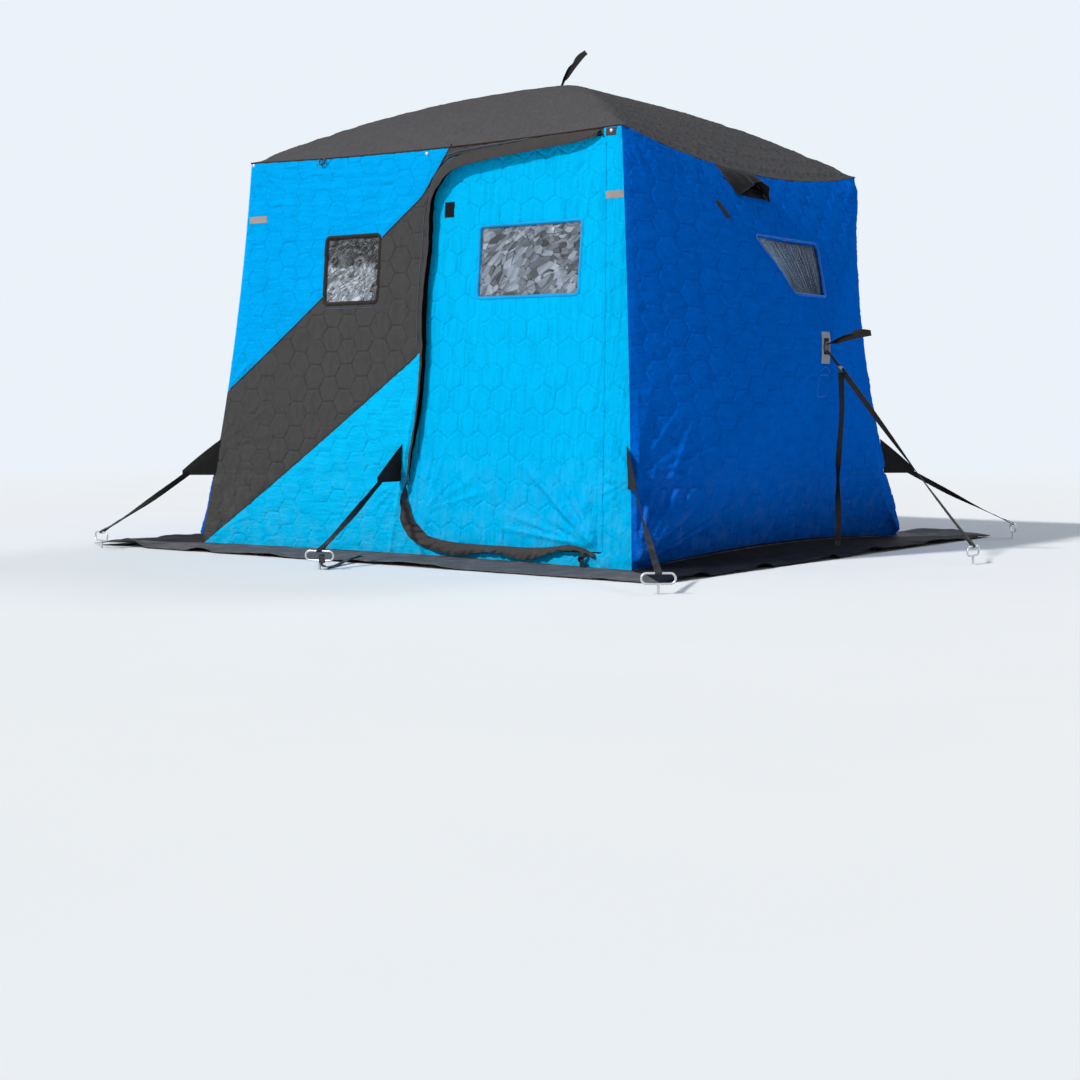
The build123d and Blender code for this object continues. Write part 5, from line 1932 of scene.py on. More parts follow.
    def build(self) -> None:
        """Makes the flap, its dark web of painted shade, and its tab."""
        names = [f"front_{name}_cloth" for name in FrontWall.names]
        surface = Surface(Facing.FRONT, "door_leaf_cloth", *names)
        fit(make_object("door_flap_cloth", *self.cloth(surface)), "grey_cloth", GREY_CLOTH, body="door",
            replaces=["door_storm_flap"])
        # Dark sheet under the flap's loose edge: painted shade, finished as hook tape.
        fit(make_object("door_flap_shade_web", *self.web(surface)), "black_webbing", HOOK_TAPE, body="door")
        fit(make_object("door_flap_tab", *self.pull_tab(surface)), "black_webbing", STRAP, body="door")
        verts, faces, _ = laid_tape(surface, self.covered(), 0.026, 0.0012, 0.0012)
        flat = verts[:, [0, 2]]
        fit(make_object("door_zip_cover", verts, faces, flat - drift(flat)), "blue_cloth", BLUE_DOOR, body="door")


@dataclass
class Door:
    """Door leaf and the strip of cloth it hinges on."""

    window: tuple[Pair, ...] = box_corners(0.350, 1.122, 0.876, 1.418)
    clearance: float = 0.006
    hook: tuple[float, float, float, float] = (0.146, 1.472, 0.198, 1.538)
    strip_half: float = 0.012

    def leaf(self) -> bpy.types.Object:
        """Quilted leaf with its window cut through."""
        surface = Surface(Facing.FRONT, "door_panel")
        quilt = HexQuilt(flat_top=False)
        folds = [
            *fan((1.05, 0.09), 108, 172, 12, 0.46, 0.010, 0.011, 61),
            *fan((0.12, 0.20), 15, 95, 7, 0.40, 0.0045, 0.012, 62),
            *fan((0.12, 1.62), -85, -10, 6, 0.32, 0.004, 0.012, 63),
            *fan((0.93, 1.70), 190, 262, 6, 0.30, 0.004, 0.012, 64),
            *[Fold((x, 1.08), (x + 0.01, 0.75), 0.0018, 0.010) for x in (0.36, 0.44, 0.53, 0.66, 0.78, 0.87)],
        ]
        flat, tris = Pattern(doorway_loop(-self.clearance), [window_loop(self.window)], [], quilt, folds).cut()
        return SewnSheet("door_leaf_cloth", surface, flat, tris, quilt, [], folds, hinged=True).build()

    def hinge_strip(self) -> bpy.types.Object:
        """Strip of cloth over the hinge seam."""
        surface = Surface(Facing.FRONT, "door_leaf_cloth", "front_hinge_cloth")
        heights = np.linspace(0.074, 1.752, 160)
        share = np.linspace(-1, 1, 9)
        flat = np.array([(PLAN.hinge_x(z) + a * self.strip_half, z) for z in heights for a in share])
        base = surface.lift(flat).reshape(len(heights), -1)
        for _ in range(2):
            base[1:-1] = np.maximum((base[:-2] + 2 * base[1:-1] + base[2:]) / 4, base[1:-1])
        level = base[:, :1] * (1 - share) / 2 + base[:, -1:] * (1 + share) / 2
        lift = np.maximum(level, base) + 0.0006 + 0.0010 * (1 - share ** 2)
        points = surface.facing.place(lift.ravel(), flat).reshape(len(heights), -1, 3)
        verts, faces, _ = thick_grid(points[:, ::-1], 0.001)
        uv = (flat - drift(flat)).reshape(len(heights), -1, 2)[:, ::-1].reshape(-1, 2)
        return make_object("door_hinge_strip", verts, faces, np.concatenate([uv, uv]))

    def build(self) -> None:
        """Makes the door's pieces."""
        fit(self.leaf(), "blue_cloth", BLUE_DOOR, LINING, body="door", replaces=["door_panel"])
        leaf = Surface(Facing.FRONT, "door_leaf_cloth")
        hook = Soup()
        hook.add(*patch(leaf, box_corners(*self.hook)))
        fit(hook.piece("door_hook_patch"), "black_webbing", HOOK_TAPE, body="door")
        StormFlap().build()
        strip = self.hinge_strip()
        strip.data.materials.append(BLUE_DOOR.material())
        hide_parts("door_hinge_cord")
        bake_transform(strip)
        log.info("%s: %d faces", strip.name, len(strip.data.polygons))


@dataclass
class Roof:
    """Domed roof skin with the piping that joins it to the walls."""

    draw: float = 0.035
    piping: float = 0.0036

    def sides(self) -> list[Points]:
        """The four top seams in plan, counter-clockwise from the front one."""
        t = PLAN.top_half
        return [bowed((-t, -t), (t, -t), (0, 0), 170), bowed((t, -t), (t, t), (self.draw, 0), 170),
                bowed((t, t), (-t, t), (0, self.draw), 170), bowed((-t, t), (-t, -t), (-self.draw, 0), 170)]

    def build(self) -> None:
        """Makes the roof skin and its piping."""
        surface = Surface(Facing.UP, "roof")
        quilt = HexQuilt(depth=0.0012)
        flat, tris = Pattern(outline_of(*self.sides()), [], [], quilt).cut()
        folds = []
        for k, (x, y) in enumerate(((1, -1), (1, 1), (-1, 1), (-1, -1))):
            middle = math.degrees(math.atan2(-y, -x))
            folds += fan((x * 1.0, y * 1.0), middle - 42, middle + 42, 8, 0.5, 0.0030, 0.018, 70 + k)
        sheet = SewnSheet("roof_cloth", surface, flat, tris, quilt, [], folds, slack=0.001, gathers=0.25)
        fit(sheet.build(), "grey_cloth", GREY_ROOF, LINING, replaces=["roof"])
        rims = []
        for side in self.sides():
            top = surface.facing.place(surface.lift(side), side)
            top[:, 2] = np.convolve(np.pad(top[:, 2], 4, mode="edge"), np.ones(9) / 9, mode="valid")
            rims.append(top[:-1])
        line = np.concatenate(rims)
        away = line * (1, 1, 0) / np.linalg.norm(line[:, :2], axis=1, keepdims=True)
        soup = Soup()
        soup.add(*tube(line + away * 0.002 - (0, 0, 0.003), self.piping, 8, closed=True))
        fit(soup.piece("roof_piping"), "black_binding", PIPING)


@dataclass
class Skirts:
    """Four cloth skirts that fall from the walls and lie rippled on the ice."""

    fold: float = 0.09
    thickness: float = 0.003
    seam_radius: float = 0.0028
    draws: tuple[tuple[str, int, float, float], ...] = (
        ("right", 0, 0.010, 0.048), ("back", 90, 0.010, 0.048), ("left", 180, 0.010, 0.048),
        ("front", -90, -0.020, 0.008))

    def height(self, x: float, y: float, out: float) -> float:
        """Height of the rippled cloth at a place, so that neighbours meet at the corners.

        Args:
            x: Place along the front.
            y: Place from front to back.
            out: Distance from the wall's foot.

        Returns:
            The height over the ice.
        """
        far = ramp(np.array([out]), 0.03, 0.2)[0]
        broad = noise.noise(Vector((x * 3.1, y * 3.1, 0.5)))
        small = noise.noise(Vector((x * 9.5, y * 9.5, 4.5)))
        curl = max(0.0, noise.noise(Vector((x * 5.2, y * 5.2, 12.5))) - 0.08) * ramp(np.array([out]), 0.24, 0.35)[0]
        return 0.003 + max(0.0, 0.003 + 0.018 * broad + 0.006 * small) * far + 0.045 * curl

    def build(self) -> None:
        """Makes the four skirts and the piping over their seams."""
        seam = Soup()
        outs = np.array([-0.007, 0.0, 0.012, 0.03, 0.05, 0.075, 0.1, 0.13, 0.16, 0.19, 0.22, 0.25, 0.275, 0.30, 0.32,
                         0.335, 0.35])
        for side, turned_by, draw, rise in self.draws:
            turn = math.radians(turned_by)
            c, s = math.cos(turn), math.sin(turn)
            rows = []
            for share in np.linspace(-1, 1, 320):
                arch = 1 - share ** 2
                row = []
                for out in outs:
                    ragged = (0.018 * noise.noise(Vector((share * 6.0, turned_by * 0.1, 3.3)))
                              * ramp(np.array([out]), 0.2, 0.35)[0])
                    half = PLAN.base_half + out
                    x, y = half + draw * arch * max(0.0, 1 - out / self.fold) - abs(ragged) * arch, share * half
                    wx, wy = x * c - y * s, x * s + y * c
                    drop = max(0.0, 1 - max(out, 0.0) / (self.fold * 1.1)) ** 1.6
                    z = self.height(wx, wy, out) + rise * arch * drop
                    row.append((wx, wy, z + self.thickness * 0.5))
                rows.append(row)
            grid = np.array(rows)
            piece = make_object(f"{side}_skirt_cloth", *thick_grid(grid[:, ::-1], self.thickness))
            # The side skirts get the near-black copy of painted shade.
            look = SKIRT_SHADE if side in ("right", "left") else SKIRT_CLOTH
            fit(piece, "skirt_cloth", look, replaces=[f"{side}_skirt"])
            seam.add(*tube(grid[:, 2] + (0, 0, 0.002), self.seam_radius, 8))
        fit(seam.piece("foot_seam_piping"), "black_binding", PIPING)


@dataclass
class Window:
    """Film sewn behind a cut-out, with a bound edge."""

    name: str
    facing: Facing
    opening: tuple[Pair, ...]
    nodes: tuple[str, ...]
    cloths: tuple[str, ...]
    film: ClearVinyl
    # The default edge is the darker hem of painted shade.
    edge: Webbing = SHADED_HEM
    slot: str = "blue_cloth"
    body: str = "shelter"
    mirrored: bool = False
    binding: float = 0.012
    ripple: float = 0.003
    pleat: float = 0.0

    def pane(self) -> bpy.types.Object:
        """Crumpled film, a little larger than the opening."""
        surface = Surface(self.facing, *self.nodes)
        flat, across, _ = between(moved_out(self.opening, 0.004), 0.005)
        base = surface.lift(flat.reshape(-1, 2)).reshape(flat.shape[:2])
        for _ in range(10):
            base[1:-1, 1:-1] = (base[:-2, 1:-1] + base[2:, 1:-1] + base[1:-1, :-2] + base[1:-1, 2:]) / 4
        turns = 2 * math.pi * across
        rise = self.pleat * (np.sin(turns * 15) + 0.6 * np.sin(turns * 34))
        for i, j in np.ndindex(*base.shape):
            a, b = flat[i, j]
            bent = 0.12 * noise.noise(Vector((a * 6, b * 6, 5.0)))
            ridge = 1 - abs(noise.noise(Vector((a * 9 + 4 * b, b * 15 + 8 * bent, 8.0)))) * 2
            fine = 1 - abs(noise.noise(Vector((a * 26, b * 36, 2.0 + bent)))) * 2
            rise[i, j] += self.ripple * (0.7 * ridge + 0.3 * fine)
        rim = distance_to(flat.reshape(-1, 2), *runs_of([np.array(self.opening)])).reshape(base.shape)
        lift = base - 0.0045 + rise * ramp(rim, 0.0, 0.02)
        points = surface.facing.place(lift.ravel(), flat.reshape(-1, 2)).reshape(*base.shape, 3)
        return make_object(f"{self.name}_film", *thick_grid(points[:, ::-1], 0.001), sharp=40)

    def edge_binding(self) -> bpy.types.Object:
        """Folded tape round the opening."""
        surface = Surface(self.facing, *self.cloths)
        middle = window_loop(self.opening, self.binding / 2, 0.014, 0.008)
        along = np.roll(middle, -1, 0) - np.roll(middle, 1, 0)
        along /= np.linalg.norm(along, axis=1, keepdims=True)
        outward = np.stack([along[:, 1], -along[:, 0]], 1)
        shares = np.array([-0.72, -0.5, -0.25, 0.0, 0.25, 0.5])
        heights = np.array([-0.0045, 0.0018, 0.0032, 0.0036, 0.0032, 0.0012])
        flat = (middle[:, None] + outward[:, None] * (shares[None, :, None] * self.binding)).reshape(-1, 2)
        cover = surface.lift(flat).reshape(len(middle), -1)[:, 3:].max(1)
        cover = np.maximum(cover, (np.roll(cover, 1) + np.roll(cover, -1)) / 2)
        points = surface.facing.place((cover[:, None] + heights).ravel(), flat).reshape(len(middle), -1, 3)
        return make_object(f"{self.name}_edge_tape", *thick_grid(points, 0.002, closed=True))

    def build(self) -> None:
        """Makes the film and its binding."""
        pane, tape = self.pane(), self.edge_binding()
        if self.mirrored:
            mirror(pane, tape)
        fit(pane, "clear_vinyl", self.film, body=self.body, replaces=[f"{self.name}_pane"])
        fit(tape, self.slot, self.edge, body=self.body, replaces=[f"{self.name}_binding"])


@dataclass
class VentHoods:
    """Cloth hoods that hang from the roof seam over the vent slots of the side walls."""

    seam_height: float = 1.704
    seam_ends: tuple[float, float] = (-0.387, -0.080)
    rim: tuple[tuple[float, float, float], ...] = (
        (0.006, -0.366, 1.570), (0.034, -0.322, 1.592), (0.066, -0.266, 1.620), (0.092, -0.205, 1.641),
        (0.086, -0.150, 1.640), (0.046, -0.112, 1.606), (0.004, -0.088, 1.560))
    rows: int = 72
    columns: int = 14
    thickness: float = 0.0025

    def build(self) -> None:
        """Makes the right hood and its mirror image."""
        surface = Surface(Facing.RIGHT, "right_wall_cloth")
        rim = through(self.rim, self.rows)
        wall = surface.lift(rim[:, 1:])
        for _ in range(10):
            wall[1:-1] = (wall[:-2] + wall[1:-1] * 2 + wall[2:]) / 4
        rim[:, 0] += wall + 0.003
        ys = np.linspace(*self.seam_ends, self.rows)
        top = over(surface, np.column_stack([ys, np.full(self.rows, self.seam_height)]), 0.004)
        rows = []
        for i in range(self.rows):
            u = i / (self.rows - 1)
            row = []
            for t in np.linspace(0, 1, self.columns):
                point = top[i] * (1 - t) + rim[i] * t
                puff = 0.012 * math.sin(math.pi * t) * math.sin(math.pi * u)
                wrinkle = 0.008 * noise.noise(Vector((u * 9.0, t * 1.4, 1.0))) * math.sin(math.pi * min(1.0, t * 1.1))
                row.append(point + np.array((puff + wrinkle, 0, 0.4 * puff)))
            rows.append(row)
        grid = np.array(rows)
        for name in ("right", "left"):
            piece = make_object(f"{name}_hood_cloth", *thick_grid(grid[:, ::-1], self.thickness))
            cells = (self.rows - 1) * (self.columns - 1)
            index = np.zeros(len(piece.data.polygons), np.int32)
            index[cells:2 * cells] = 1
            piece.data.polygons.foreach_set("material_index", index)
            roll = Soup()
            roll.add(*tube(grid[:, -1], 0.0028, 8))
            rolled = roll.piece(f"{name}_hood_rim")
            if name == "left":
                mirror(piece, rolled)
            fit(piece, "grey_cloth", GREY_CLOTH, HOOK_TAPE, replaces=[f"{name}_vent_hood"])
            fit(rolled, "black_binding", BINDING)


@dataclass
class Guys:
    """Gussets, webbing guys, their tails and the pull loops."""

    width: float = 0.025
    thickness: float = 0.002
    gusset_foot: float = 0.328
    gusset_top: float = 0.5
    gusset_reach: float = 0.13
    gusset_tip: float = 0.022
    anchor_top: float = 0.074
    front_x: float = -0.025
    hub_anchor: float = 2.145
    bar_wrap: float = 0.0055
    strap_root: float = 0.339
    sewn_in: float = 0.03
    seam_cover: float = 0.03
    buckle_run: float = 0.108
    tail_turn: float = -0.94
    places: tuple[tuple[float, float, float, float], ...] = (
        (-1, -1, -1.39, -1.69), (1, -1, 1.76, -1.87), (1, 1, 1.70, 1.56), (-1, 1, -1.70, 1.56))

    def root(self, foot_radius: float) -> float:
        """Distance of the wall from the middle at a gusset's foot."""
        return foot_radius * (1 - (1 - PLAN.top_half / PLAN.base_half) * self.gusset_foot / PLAN.wall_height)

    def strap(self, start: Sequence[float], bar: Sequence[float], twist: float = 0.0) -> tuple[Points, list, Points]:
        """Webbing from its start round an anchor's bar and a little way back.

        Args:
            start: Where it is sewn on or leaves a buckle.
            bar: Middle of the anchor's bar.
            twist: Turn of its start about its length, in radians, gone before the bar.

        Returns:
            Vertices, faces and layout, as thick_grid gives them.
        """
        a, b = np.array(start, float), np.array(bar, float)
        run = (b - a) / np.linalg.norm(b - a)
        side = np.array((-run[1], run[0], 0.0))
        side /= np.linalg.norm(side)
        up = np.cross(run, side)
        if up[2] < 0:
            up = -up
        length = float(np.linalg.norm(b - a))
        share = np.linspace(0, 1, 60)
        sag = 0.006 * np.sin(math.pi * share)
        path = (a + np.outer(share * length, run) + np.outer(self.bar_wrap * ramp(share, 0.85, 1.0), up)
                - np.outer(sag, (0, 0, 1)))
        turn = np.radians((45, 90, 135, 180))
        round_bar = b + self.bar_wrap * (np.outer(np.cos(turn), up) + np.outer(np.sin(turn), run))
        back = np.linspace(0.012, 0.11, 8)
        returned = b - np.outer(self.bar_wrap - 0.0022 * np.minimum(1.0, back / 0.04), up) - np.outer(back, run)
        path = np.concatenate([path, round_bar, returned])
        along = np.gradient(path, axis=0)
        normals = np.cross(along, np.broadcast_to(side, path.shape))
        normals = normals if normals[3] @ up > 0 else -normals
        normals /= np.linalg.norm(normals, axis=1, keepdims=True)
        angle = np.zeros(len(path))
        angle[:60] = twist * (1 - ramp(share, 0.12, 0.80))
        normals = normals * np.cos(angle)[:, None] + side * np.sin(angle)[:, None]
        return ribbon(path, normals, self.width, self.thickness, 0.0006)

    def gusset(self, origin: Sequence[float], out: Sequence[float], foot_radius: float) -> tuple[Points, list, Points]:
        """Triangular web between the corner seam and the strap.

        Args:
            origin: Foot of the line it stands on, seen from above.
            out: The way it points.
            foot_radius: Distance of the wall's foot along that way.

        Returns:
            Vertices, faces and layout, as thick_grid gives them.
        """
        out = np.array(out, float)
        root = self.root(foot_radius)
        lean = (PLAN.top_half / PLAN.base_half - 1) * foot_radius / PLAN.wall_height
        rows = []
        for t in np.linspace(0, 1, 14):
            low = self.gusset_foot
            high = self.gusset_top + (self.gusset_foot + self.gusset_tip - self.gusset_top) * t
            row = []
            for k in np.linspace(0, 1, 9):
                z = low + (high - low) * k
                wall = root + lean * (z - self.gusset_foot) - self.seam_cover
                reach = wall + (root + self.gusset_reach - wall) * t
                sag = 0.004 * math.sin(math.pi * k) * math.sin(math.pi * t)
                side = np.array((-out[1], out[0], 0)) * sag
                row.append(np.array(origin) + out * reach + np.array((0, 0, z)) + side)
            rows.append(row)
        return thick_grid(np.array(rows), 0.003)

    def ice_tail(self, points: Sequence[Sequence[float]], twist: float) -> tuple[Points, list, Points]:
        """Loose end of webbing that lies on the ice, turned over along its way.

        Args:
            points: Points that the webbing follows.
            twist: Largest turn about its length, in radians.

        Returns:
            Vertices, faces and layout, as ribbon gives them.
        """
        path = through(np.array(points), 60)
        angle = twist * np.sin(np.linspace(0.4, 5.0, 60))
        along = np.gradient(path, axis=0)
        side = np.cross(along, (0, 0, 1))
        side /= np.linalg.norm(side, axis=1, keepdims=True)
        normals = np.array((0, 0, 1)) * np.cos(angle)[:, None] + side * np.sin(angle)[:, None]
        path[:, 2] += 0.003 + 0.0125 * np.abs(np.sin(angle))
        return ribbon(path, normals, self.width, self.thickness, 0.0004)

    def corner_guys(self) -> None:
        """Gussets and straps of the four corners and the middle of the front."""
        gussets, straps = Soup(), Soup()
        for x, y, ax, ay in self.places:
            out = np.array((x, y, 0.0)) / math.sqrt(2)
            gussets.add(*self.gusset((0, 0, 0), out, PLAN.base_half * math.sqrt(2)))
            reach = self.root(PLAN.base_half * math.sqrt(2)) + self.gusset_reach
            straps.add(*self.strap(out * (reach - self.sewn_in) + np.array((0, 0, self.strap_root)),
                                   (ax, ay, self.anchor_top), math.pi / 2))
        gussets.add(*self.gusset((self.front_x, 0, 0), (0, -1, 0), PLAN.base_half))
        tip = (self.front_x, -(self.root(PLAN.base_half) + self.gusset_reach - self.sewn_in), self.strap_root)
        straps.add(*self.strap(tip, (0.15, -1.88, self.anchor_top), math.pi / 2))
        straps.add(*self.ice_tail([(0.150, -1.868, 0.055), (0.176, -1.890, 0.020), (0.160, -1.850, 0.003),
                                   (0.10, -1.72, 0.002), (0.05, -1.60, 0.012), (0.0, -1.465, 0.022)], 0.15))
        fit(gussets.piece("gusset_cloth"), "black_webbing", WEB_CLOTH, replaces=["guy_gussets"])
        fit(straps.piece("corner_strap_webbing"), "black_webbing", STRAP, replaces=["corner_guy_straps"])

    def hub_guys(self) -> None:
        """Guys, tails and pull loops of the three wall hubs, and the roof's loop."""
        straps, tails, loops = Soup(), Soup(), Soup()
        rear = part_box("hub_anchors")[1].y - 0.0048
        for out, reach in (((1, 0), self.hub_anchor), ((-1, 0), self.hub_anchor), ((0, 1), rear)):
            o = np.array((*out, 0.0))
            side = np.array((-out[1], out[0], 0.0))
            start = o * (PLAN.hub_reach + PLAN.hub_cap + 0.0015) + np.array((0, 0, 0.907))
            end = o * reach + np.array((0, 0, self.anchor_top))
            run = (end - start) / np.linalg.norm(end - start)
            buckle = start + run * self.buckle_run
            straps.add(*self.strap(buckle, end, math.pi / 2))
            for k in (-1, 1):
                lead = start + side * 0.004 * k
                line = bowed(lead, buckle + side * 0.009 * k, side * 0.002 * k, 14)
                straps.add(*tube(line, 0.0032, 8))
            at = start + run * 0.11 - o * 0.006
            down = np.linspace(0.012, at[2] - 0.047, 90)
            turn = self.tail_turn + 0.8 * np.sin(down * 9.5) * np.minimum(1, down * 4)
            turn = turn + 0.4 * np.sin(down * 23.0) * np.minimum(1, down * 2)
            path = at + np.outer(down, (0, 0, -1)) + np.outer(0.010 * np.sin(down * 6.5), side) + np.outer(
                0.006 * np.sin(down * 11.0), o)
            normals = o * np.cos(turn)[:, None] + side * np.sin(turn)[:, None]
            tails.add(*ribbon(path, normals, self.width, self.thickness, 0.0005))
            loops.add(*self.pull_loop(o, side))
        fit(straps.piece("hub_strap_webbing"), "black_webbing", STRAP, replaces=["hub_guy_straps"])
        fit(tails.piece("hub_tail_webbing"), "black_webbing", STRAP, replaces=["hub_guy_tails"])
        fit(loops.piece("hub_loop_webbing"), "black_webbing", STRAP, replaces=["hub_pull_loops"])
        roof = Soup()
        roof.add(*self.doubled((0, 0, PLAN.peak + 0.0075), (0.142, 0, 2.342), (-0.004, 0, 0.004), (0, 1, 0), 0.018))
        fit(roof.piece("roof_loop_webbing"), "black_webbing", STRAP, replaces=["roof_pull_loop"])

    def doubled(self, start: Sequence[float], end: Sequence[float], bow: Sequence[float], side: Sequence[float],
                opened: float) -> tuple[Points, list, Points]:
        """Webbing that goes out along an arc, turns and comes back beside itself, upright towards its tip.

        Args:
            start: Where both ends are sewn on.
            end: Where it turns back.
            bow: How far the middle is moved off the straight line.
            side: The way its width runs at the start.
            opened: How far the way back stands above the way out.

        Returns:
            Vertices, faces and layout, as thick_grid gives them.
        """
        line = bowed(start, end, bow, 30)
        along = np.gradient(line, axis=0)
        along /= np.linalg.norm(along, axis=1, keepdims=True)
        level = np.broadcast_to(np.array(side, float), line.shape)
        up = np.cross(along, level)
        up = up * np.sign(up[:, 2:3])
        share = np.linspace(0, 1, len(line))
        legs = []
        for sign, low, high in ((1, 0.05, 0.30), (-1, 0.40, 0.85)):
            turn = ramp(share, low, high)[:, None] * math.pi / 2
            width = level * np.cos(turn) + up * np.sin(turn)
            beside = level * np.sin(turn) + up * np.cos(turn)
            raised = max(0, -sign) * opened * np.sin(math.pi * share ** 1.5)[:, None] * up
            legs.append((line + raised - sign * beside * (0.0016 + 0.001 * np.sin(math.pi * share))[:, None], width))
        tip = line[-1:] + along[-1] * 0.003
        path = np.concatenate([legs[0][0], tip, legs[1][0][::-1]])
        width = np.concatenate([legs[0][1], legs[0][1][-1:], legs[1][1][::-1]])
        pinched = 0.45 + 0.55 * ramp(share, 0.02, 0.22)
        wide = self.width * np.concatenate([pinched, [1.0], pinched[::-1]])
        return ribbon(path, np.cross(width, np.gradient(path, axis=0)), wide, 0.0016, 0.0004)

    def pull_loop(self, out: Points, side: Points) -> tuple[Points, list, Points]:
        """Loop on a wall hub, used to pull the hub out.

        Args:
            out: The way that the hub points.
            side: Unit vector across it.

        Returns:
            Vertices, faces and layout, as doubled gives them.
        """
        start = out * (PLAN.hub_reach + PLAN.hub_cap + 0.0015) + np.array((0, 0, PLAN.hub_height + 0.012))
        end = start + out * 0.205 + np.array((0, 0, 0.045))
        return self.doubled(start, end, (0, 0, 0.004), side, 0.016)

    def build(self) -> None:
        """Makes all gussets, straps, tails and loops."""
        self.corner_guys()
        self.hub_guys()


@dataclass
class Frame:
    """Rigid parts that stay as the CAD has them and only get their finishes."""

    nylon: tuple[str, ...] = ("right_hub", "left_hub", "back_hub", "roof_hub", "corner_sockets", "hub_guy_buckles")
    rods: tuple[str, ...] = ("right_poles", "left_poles", "back_poles", "roof_poles")
    zinc: tuple[str, ...] = ("corner_anchors", "hub_anchors")
    bars: tuple[str, ...] = ("header_bar_left", "header_bar_right", "header_hinge")

    def build(self) -> None:
        """Gives every kept node its finish."""
        for nodes, finish in ((self.nylon, NYLON), (self.rods, ROD), (self.zinc, ZINC), (self.bars, ALUMINIUM)):
            for node in nodes:
                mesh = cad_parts[node].data
                mesh.materials.clear()
                mesh.materials.append(finish.material())
                mesh.shade_smooth()
                mesh.set_sharp_from_angle(angle=math.radians(35))
                log.info("%s: %s", node, finish.name)


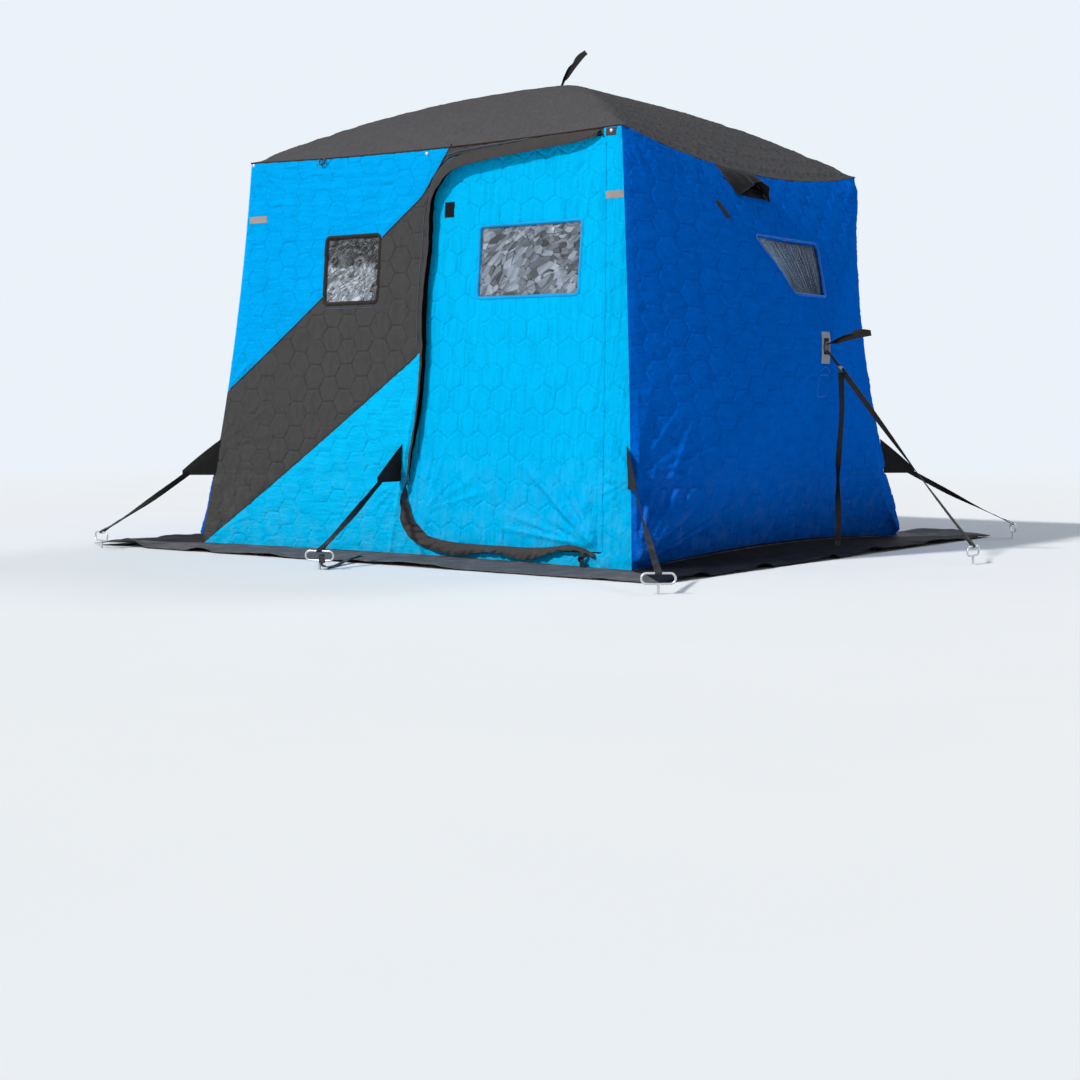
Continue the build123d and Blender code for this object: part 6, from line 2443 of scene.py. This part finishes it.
@dataclass
class Studio:
    """Camera at the picture's angle, pale floor and soft light."""

    place: tuple[float, float, float] = (5.2092, -7.3136, 0.6615)
    yaw: float = 0.6296
    pitch: float = -0.0732
    roll: float = 0.0029
    lens: float = 61.094
    suns: tuple[tuple[tuple[float, float, float], float, float], ...] = (
        ((-0.30, -0.70, 0.65), 2.6, 4.0), ((0.10, 0.75, 0.65), 0.5, 15.0))
    sky_strength: float = 0.34
    backdrop: tuple[float, float, float, float] = (0.83, 0.89, 0.95, 1.0)

    def camera(self) -> None:
        """Makes the camera and sets it as the scene's."""
        forward = Vector((-math.sin(self.yaw) * math.cos(self.pitch), math.cos(self.yaw) * math.cos(self.pitch),
                          math.sin(self.pitch)))
        right = Vector((math.cos(self.yaw), math.sin(self.yaw), 0))
        up = right.cross(forward)
        turned_right = right * math.cos(self.roll) + up * math.sin(self.roll)
        turned_up = up * math.cos(self.roll) - right * math.sin(self.roll)
        data = bpy.data.cameras.new("camera")
        data.sensor_width = 36.0
        data.lens = self.lens
        data.clip_end = 200.0
        camera = bpy.data.objects.new("camera", data)
        axes = Matrix((turned_right, turned_up, -forward)).transposed()
        camera.matrix_world = Matrix.Translation(self.place) @ axes.to_4x4()
        bpy.context.scene.collection.objects.link(camera)
        bpy.context.scene.camera = camera

    def floor(self) -> None:
        """Large pale floor that fades into the backdrop far away."""
        angles = np.linspace(0, 2 * math.pi, 65)[:-1]
        rings = [3.0, 8.0, 20.0, 60.0]
        verts = [(r * math.cos(a), r * math.sin(a), -0.001) for r in rings for a in angles]
        faces = [tuple(range(64))]
        for i in range(len(rings) - 1):
            for k in range(64):
                a, b = i * 64, (i + 1) * 64
                faces.append((a + k, b + k, b + (k + 1) % 64, a + (k + 1) % 64))
        floor = make_object("floor", np.array(verts), faces)
        made, g, bsdf = shader("pale_floor")
        place = g.add("ShaderNodeTexCoord").outputs["Object"]
        g.put(bsdf.inputs["Base Color"], g.mix(g.noise(place, 0.8, 3.0), (0.88, 0.90, 0.92, 1), (0.93, 0.94, 0.95, 1)))
        bsdf.inputs["Roughness"].default_value = 0.9
        bsdf.inputs["Specular IOR Level"].default_value = 0.1
        far = g.step(g.vec("LENGTH", place), 5.0, 13.0)
        glow = g.add("ShaderNodeEmission", {"Color": self.backdrop, "Strength": 1.0})
        seen = g.add("ShaderNodeLightPath").outputs["Is Camera Ray"]
        both = g.add("ShaderNodeMixShader", {0: g.calc("MULTIPLY", far, seen), 1: bsdf.outputs[0], 2: glow.outputs[0]})
        out = next(n for n in g.tree.nodes if n.type == "OUTPUT_MATERIAL")
        g.put(out.inputs[0], both.outputs[0])
        floor.data.materials.append(made)

    def light(self) -> None:
        """Soft sun from the front left, a weak one from behind and an even pale sky."""
        for place, strength, spread in self.suns:
            sun = bpy.data.lights.new("sun", "SUN")
            sun.energy = strength
            sun.angle = math.radians(spread)
            sun.color = (1.0, 0.975, 0.94)
            lamp = bpy.data.objects.new("sun", sun)
            lamp.rotation_euler = (-Vector(place)).to_track_quat("-Z", "Y").to_euler()
            bpy.context.scene.collection.objects.link(lamp)
        world = bpy.data.worlds.new("sky")
        bpy.context.scene.world = world
        world.use_nodes = True
        world.node_tree.nodes.clear()
        g = Graph(world.node_tree)
        path = g.add("ShaderNodeLightPath")
        plain = g.calc("MAXIMUM", path.outputs["Is Camera Ray"],
                       g.calc("MAXIMUM", path.outputs["Is Glossy Ray"], path.outputs["Is Transmission Ray"]))
        sky = g.add("ShaderNodeBackground", {"Color": (0.82, 0.91, 1.0, 1), "Strength": self.sky_strength})
        white = g.add("ShaderNodeBackground", {"Color": self.backdrop, "Strength": 1.0})
        both = g.add("ShaderNodeMixShader", {0: plain, 1: sky.outputs[0], 2: white.outputs[0]})
        g.add("ShaderNodeOutputWorld", {0: both.outputs[0]})

    def build(self) -> None:
        """Sets up the view."""
        bpy.context.scene.view_settings.view_transform = "Standard"
        self.camera()
        self.floor()
        self.light()


def main() -> None:
    """Builds the shelter's sub-assemblies in order and reports each piece."""
    logging.basicConfig(level=logging.INFO, format="%(name)s %(message)s", stream=sys.stdout)
    Studio().build()
    side_nodes = ("right_wall", "right_window_pane")
    pleats = {"ripple": 0.0008, "pleat": 0.0011}
    for side, film, mirrored in (("right", FILM_SIDE, False), ("left", FILM_LEFT, True)):
        HubWall(side, Facing.RIGHT, mirrored).build()
        Window(f"{side}_window", Facing.RIGHT, HubWall.window, side_nodes, ("right_wall_cloth",), film,
               mirrored=mirrored, **pleats).build()
    HubWall("back", Facing.BACK, near_draw=0.045, vent=None).build()
    Window("back_window", Facing.BACK, HubWall.window, ("back_wall", "back_window_pane"), ("back_wall_cloth",),
           FILM_SIDE, **pleats).build()
    FrontWall().build()
    Window("front_window", Facing.FRONT, FrontWall.window,
           ("front_upper_panel", "front_band_panel", "front_window_pane"),
           ("front_upper_cloth", "front_band_cloth"), FILM_FRONT, BINDING, "black_binding", binding=0.015,
           ripple=0.005).build()
    Door().build()
    Window("door_window", Facing.FRONT, Door.window, ("door_panel", "door_window_pane"), ("door_leaf_cloth",),
           FILM_DOOR, BLUE_HEM, body="door", ripple=0.006).build()
    Roof().build()
    Skirts().build()
    VentHoods().build()
    Guys().build()
    Frame().build()


if __name__ == "__main__":
    main()
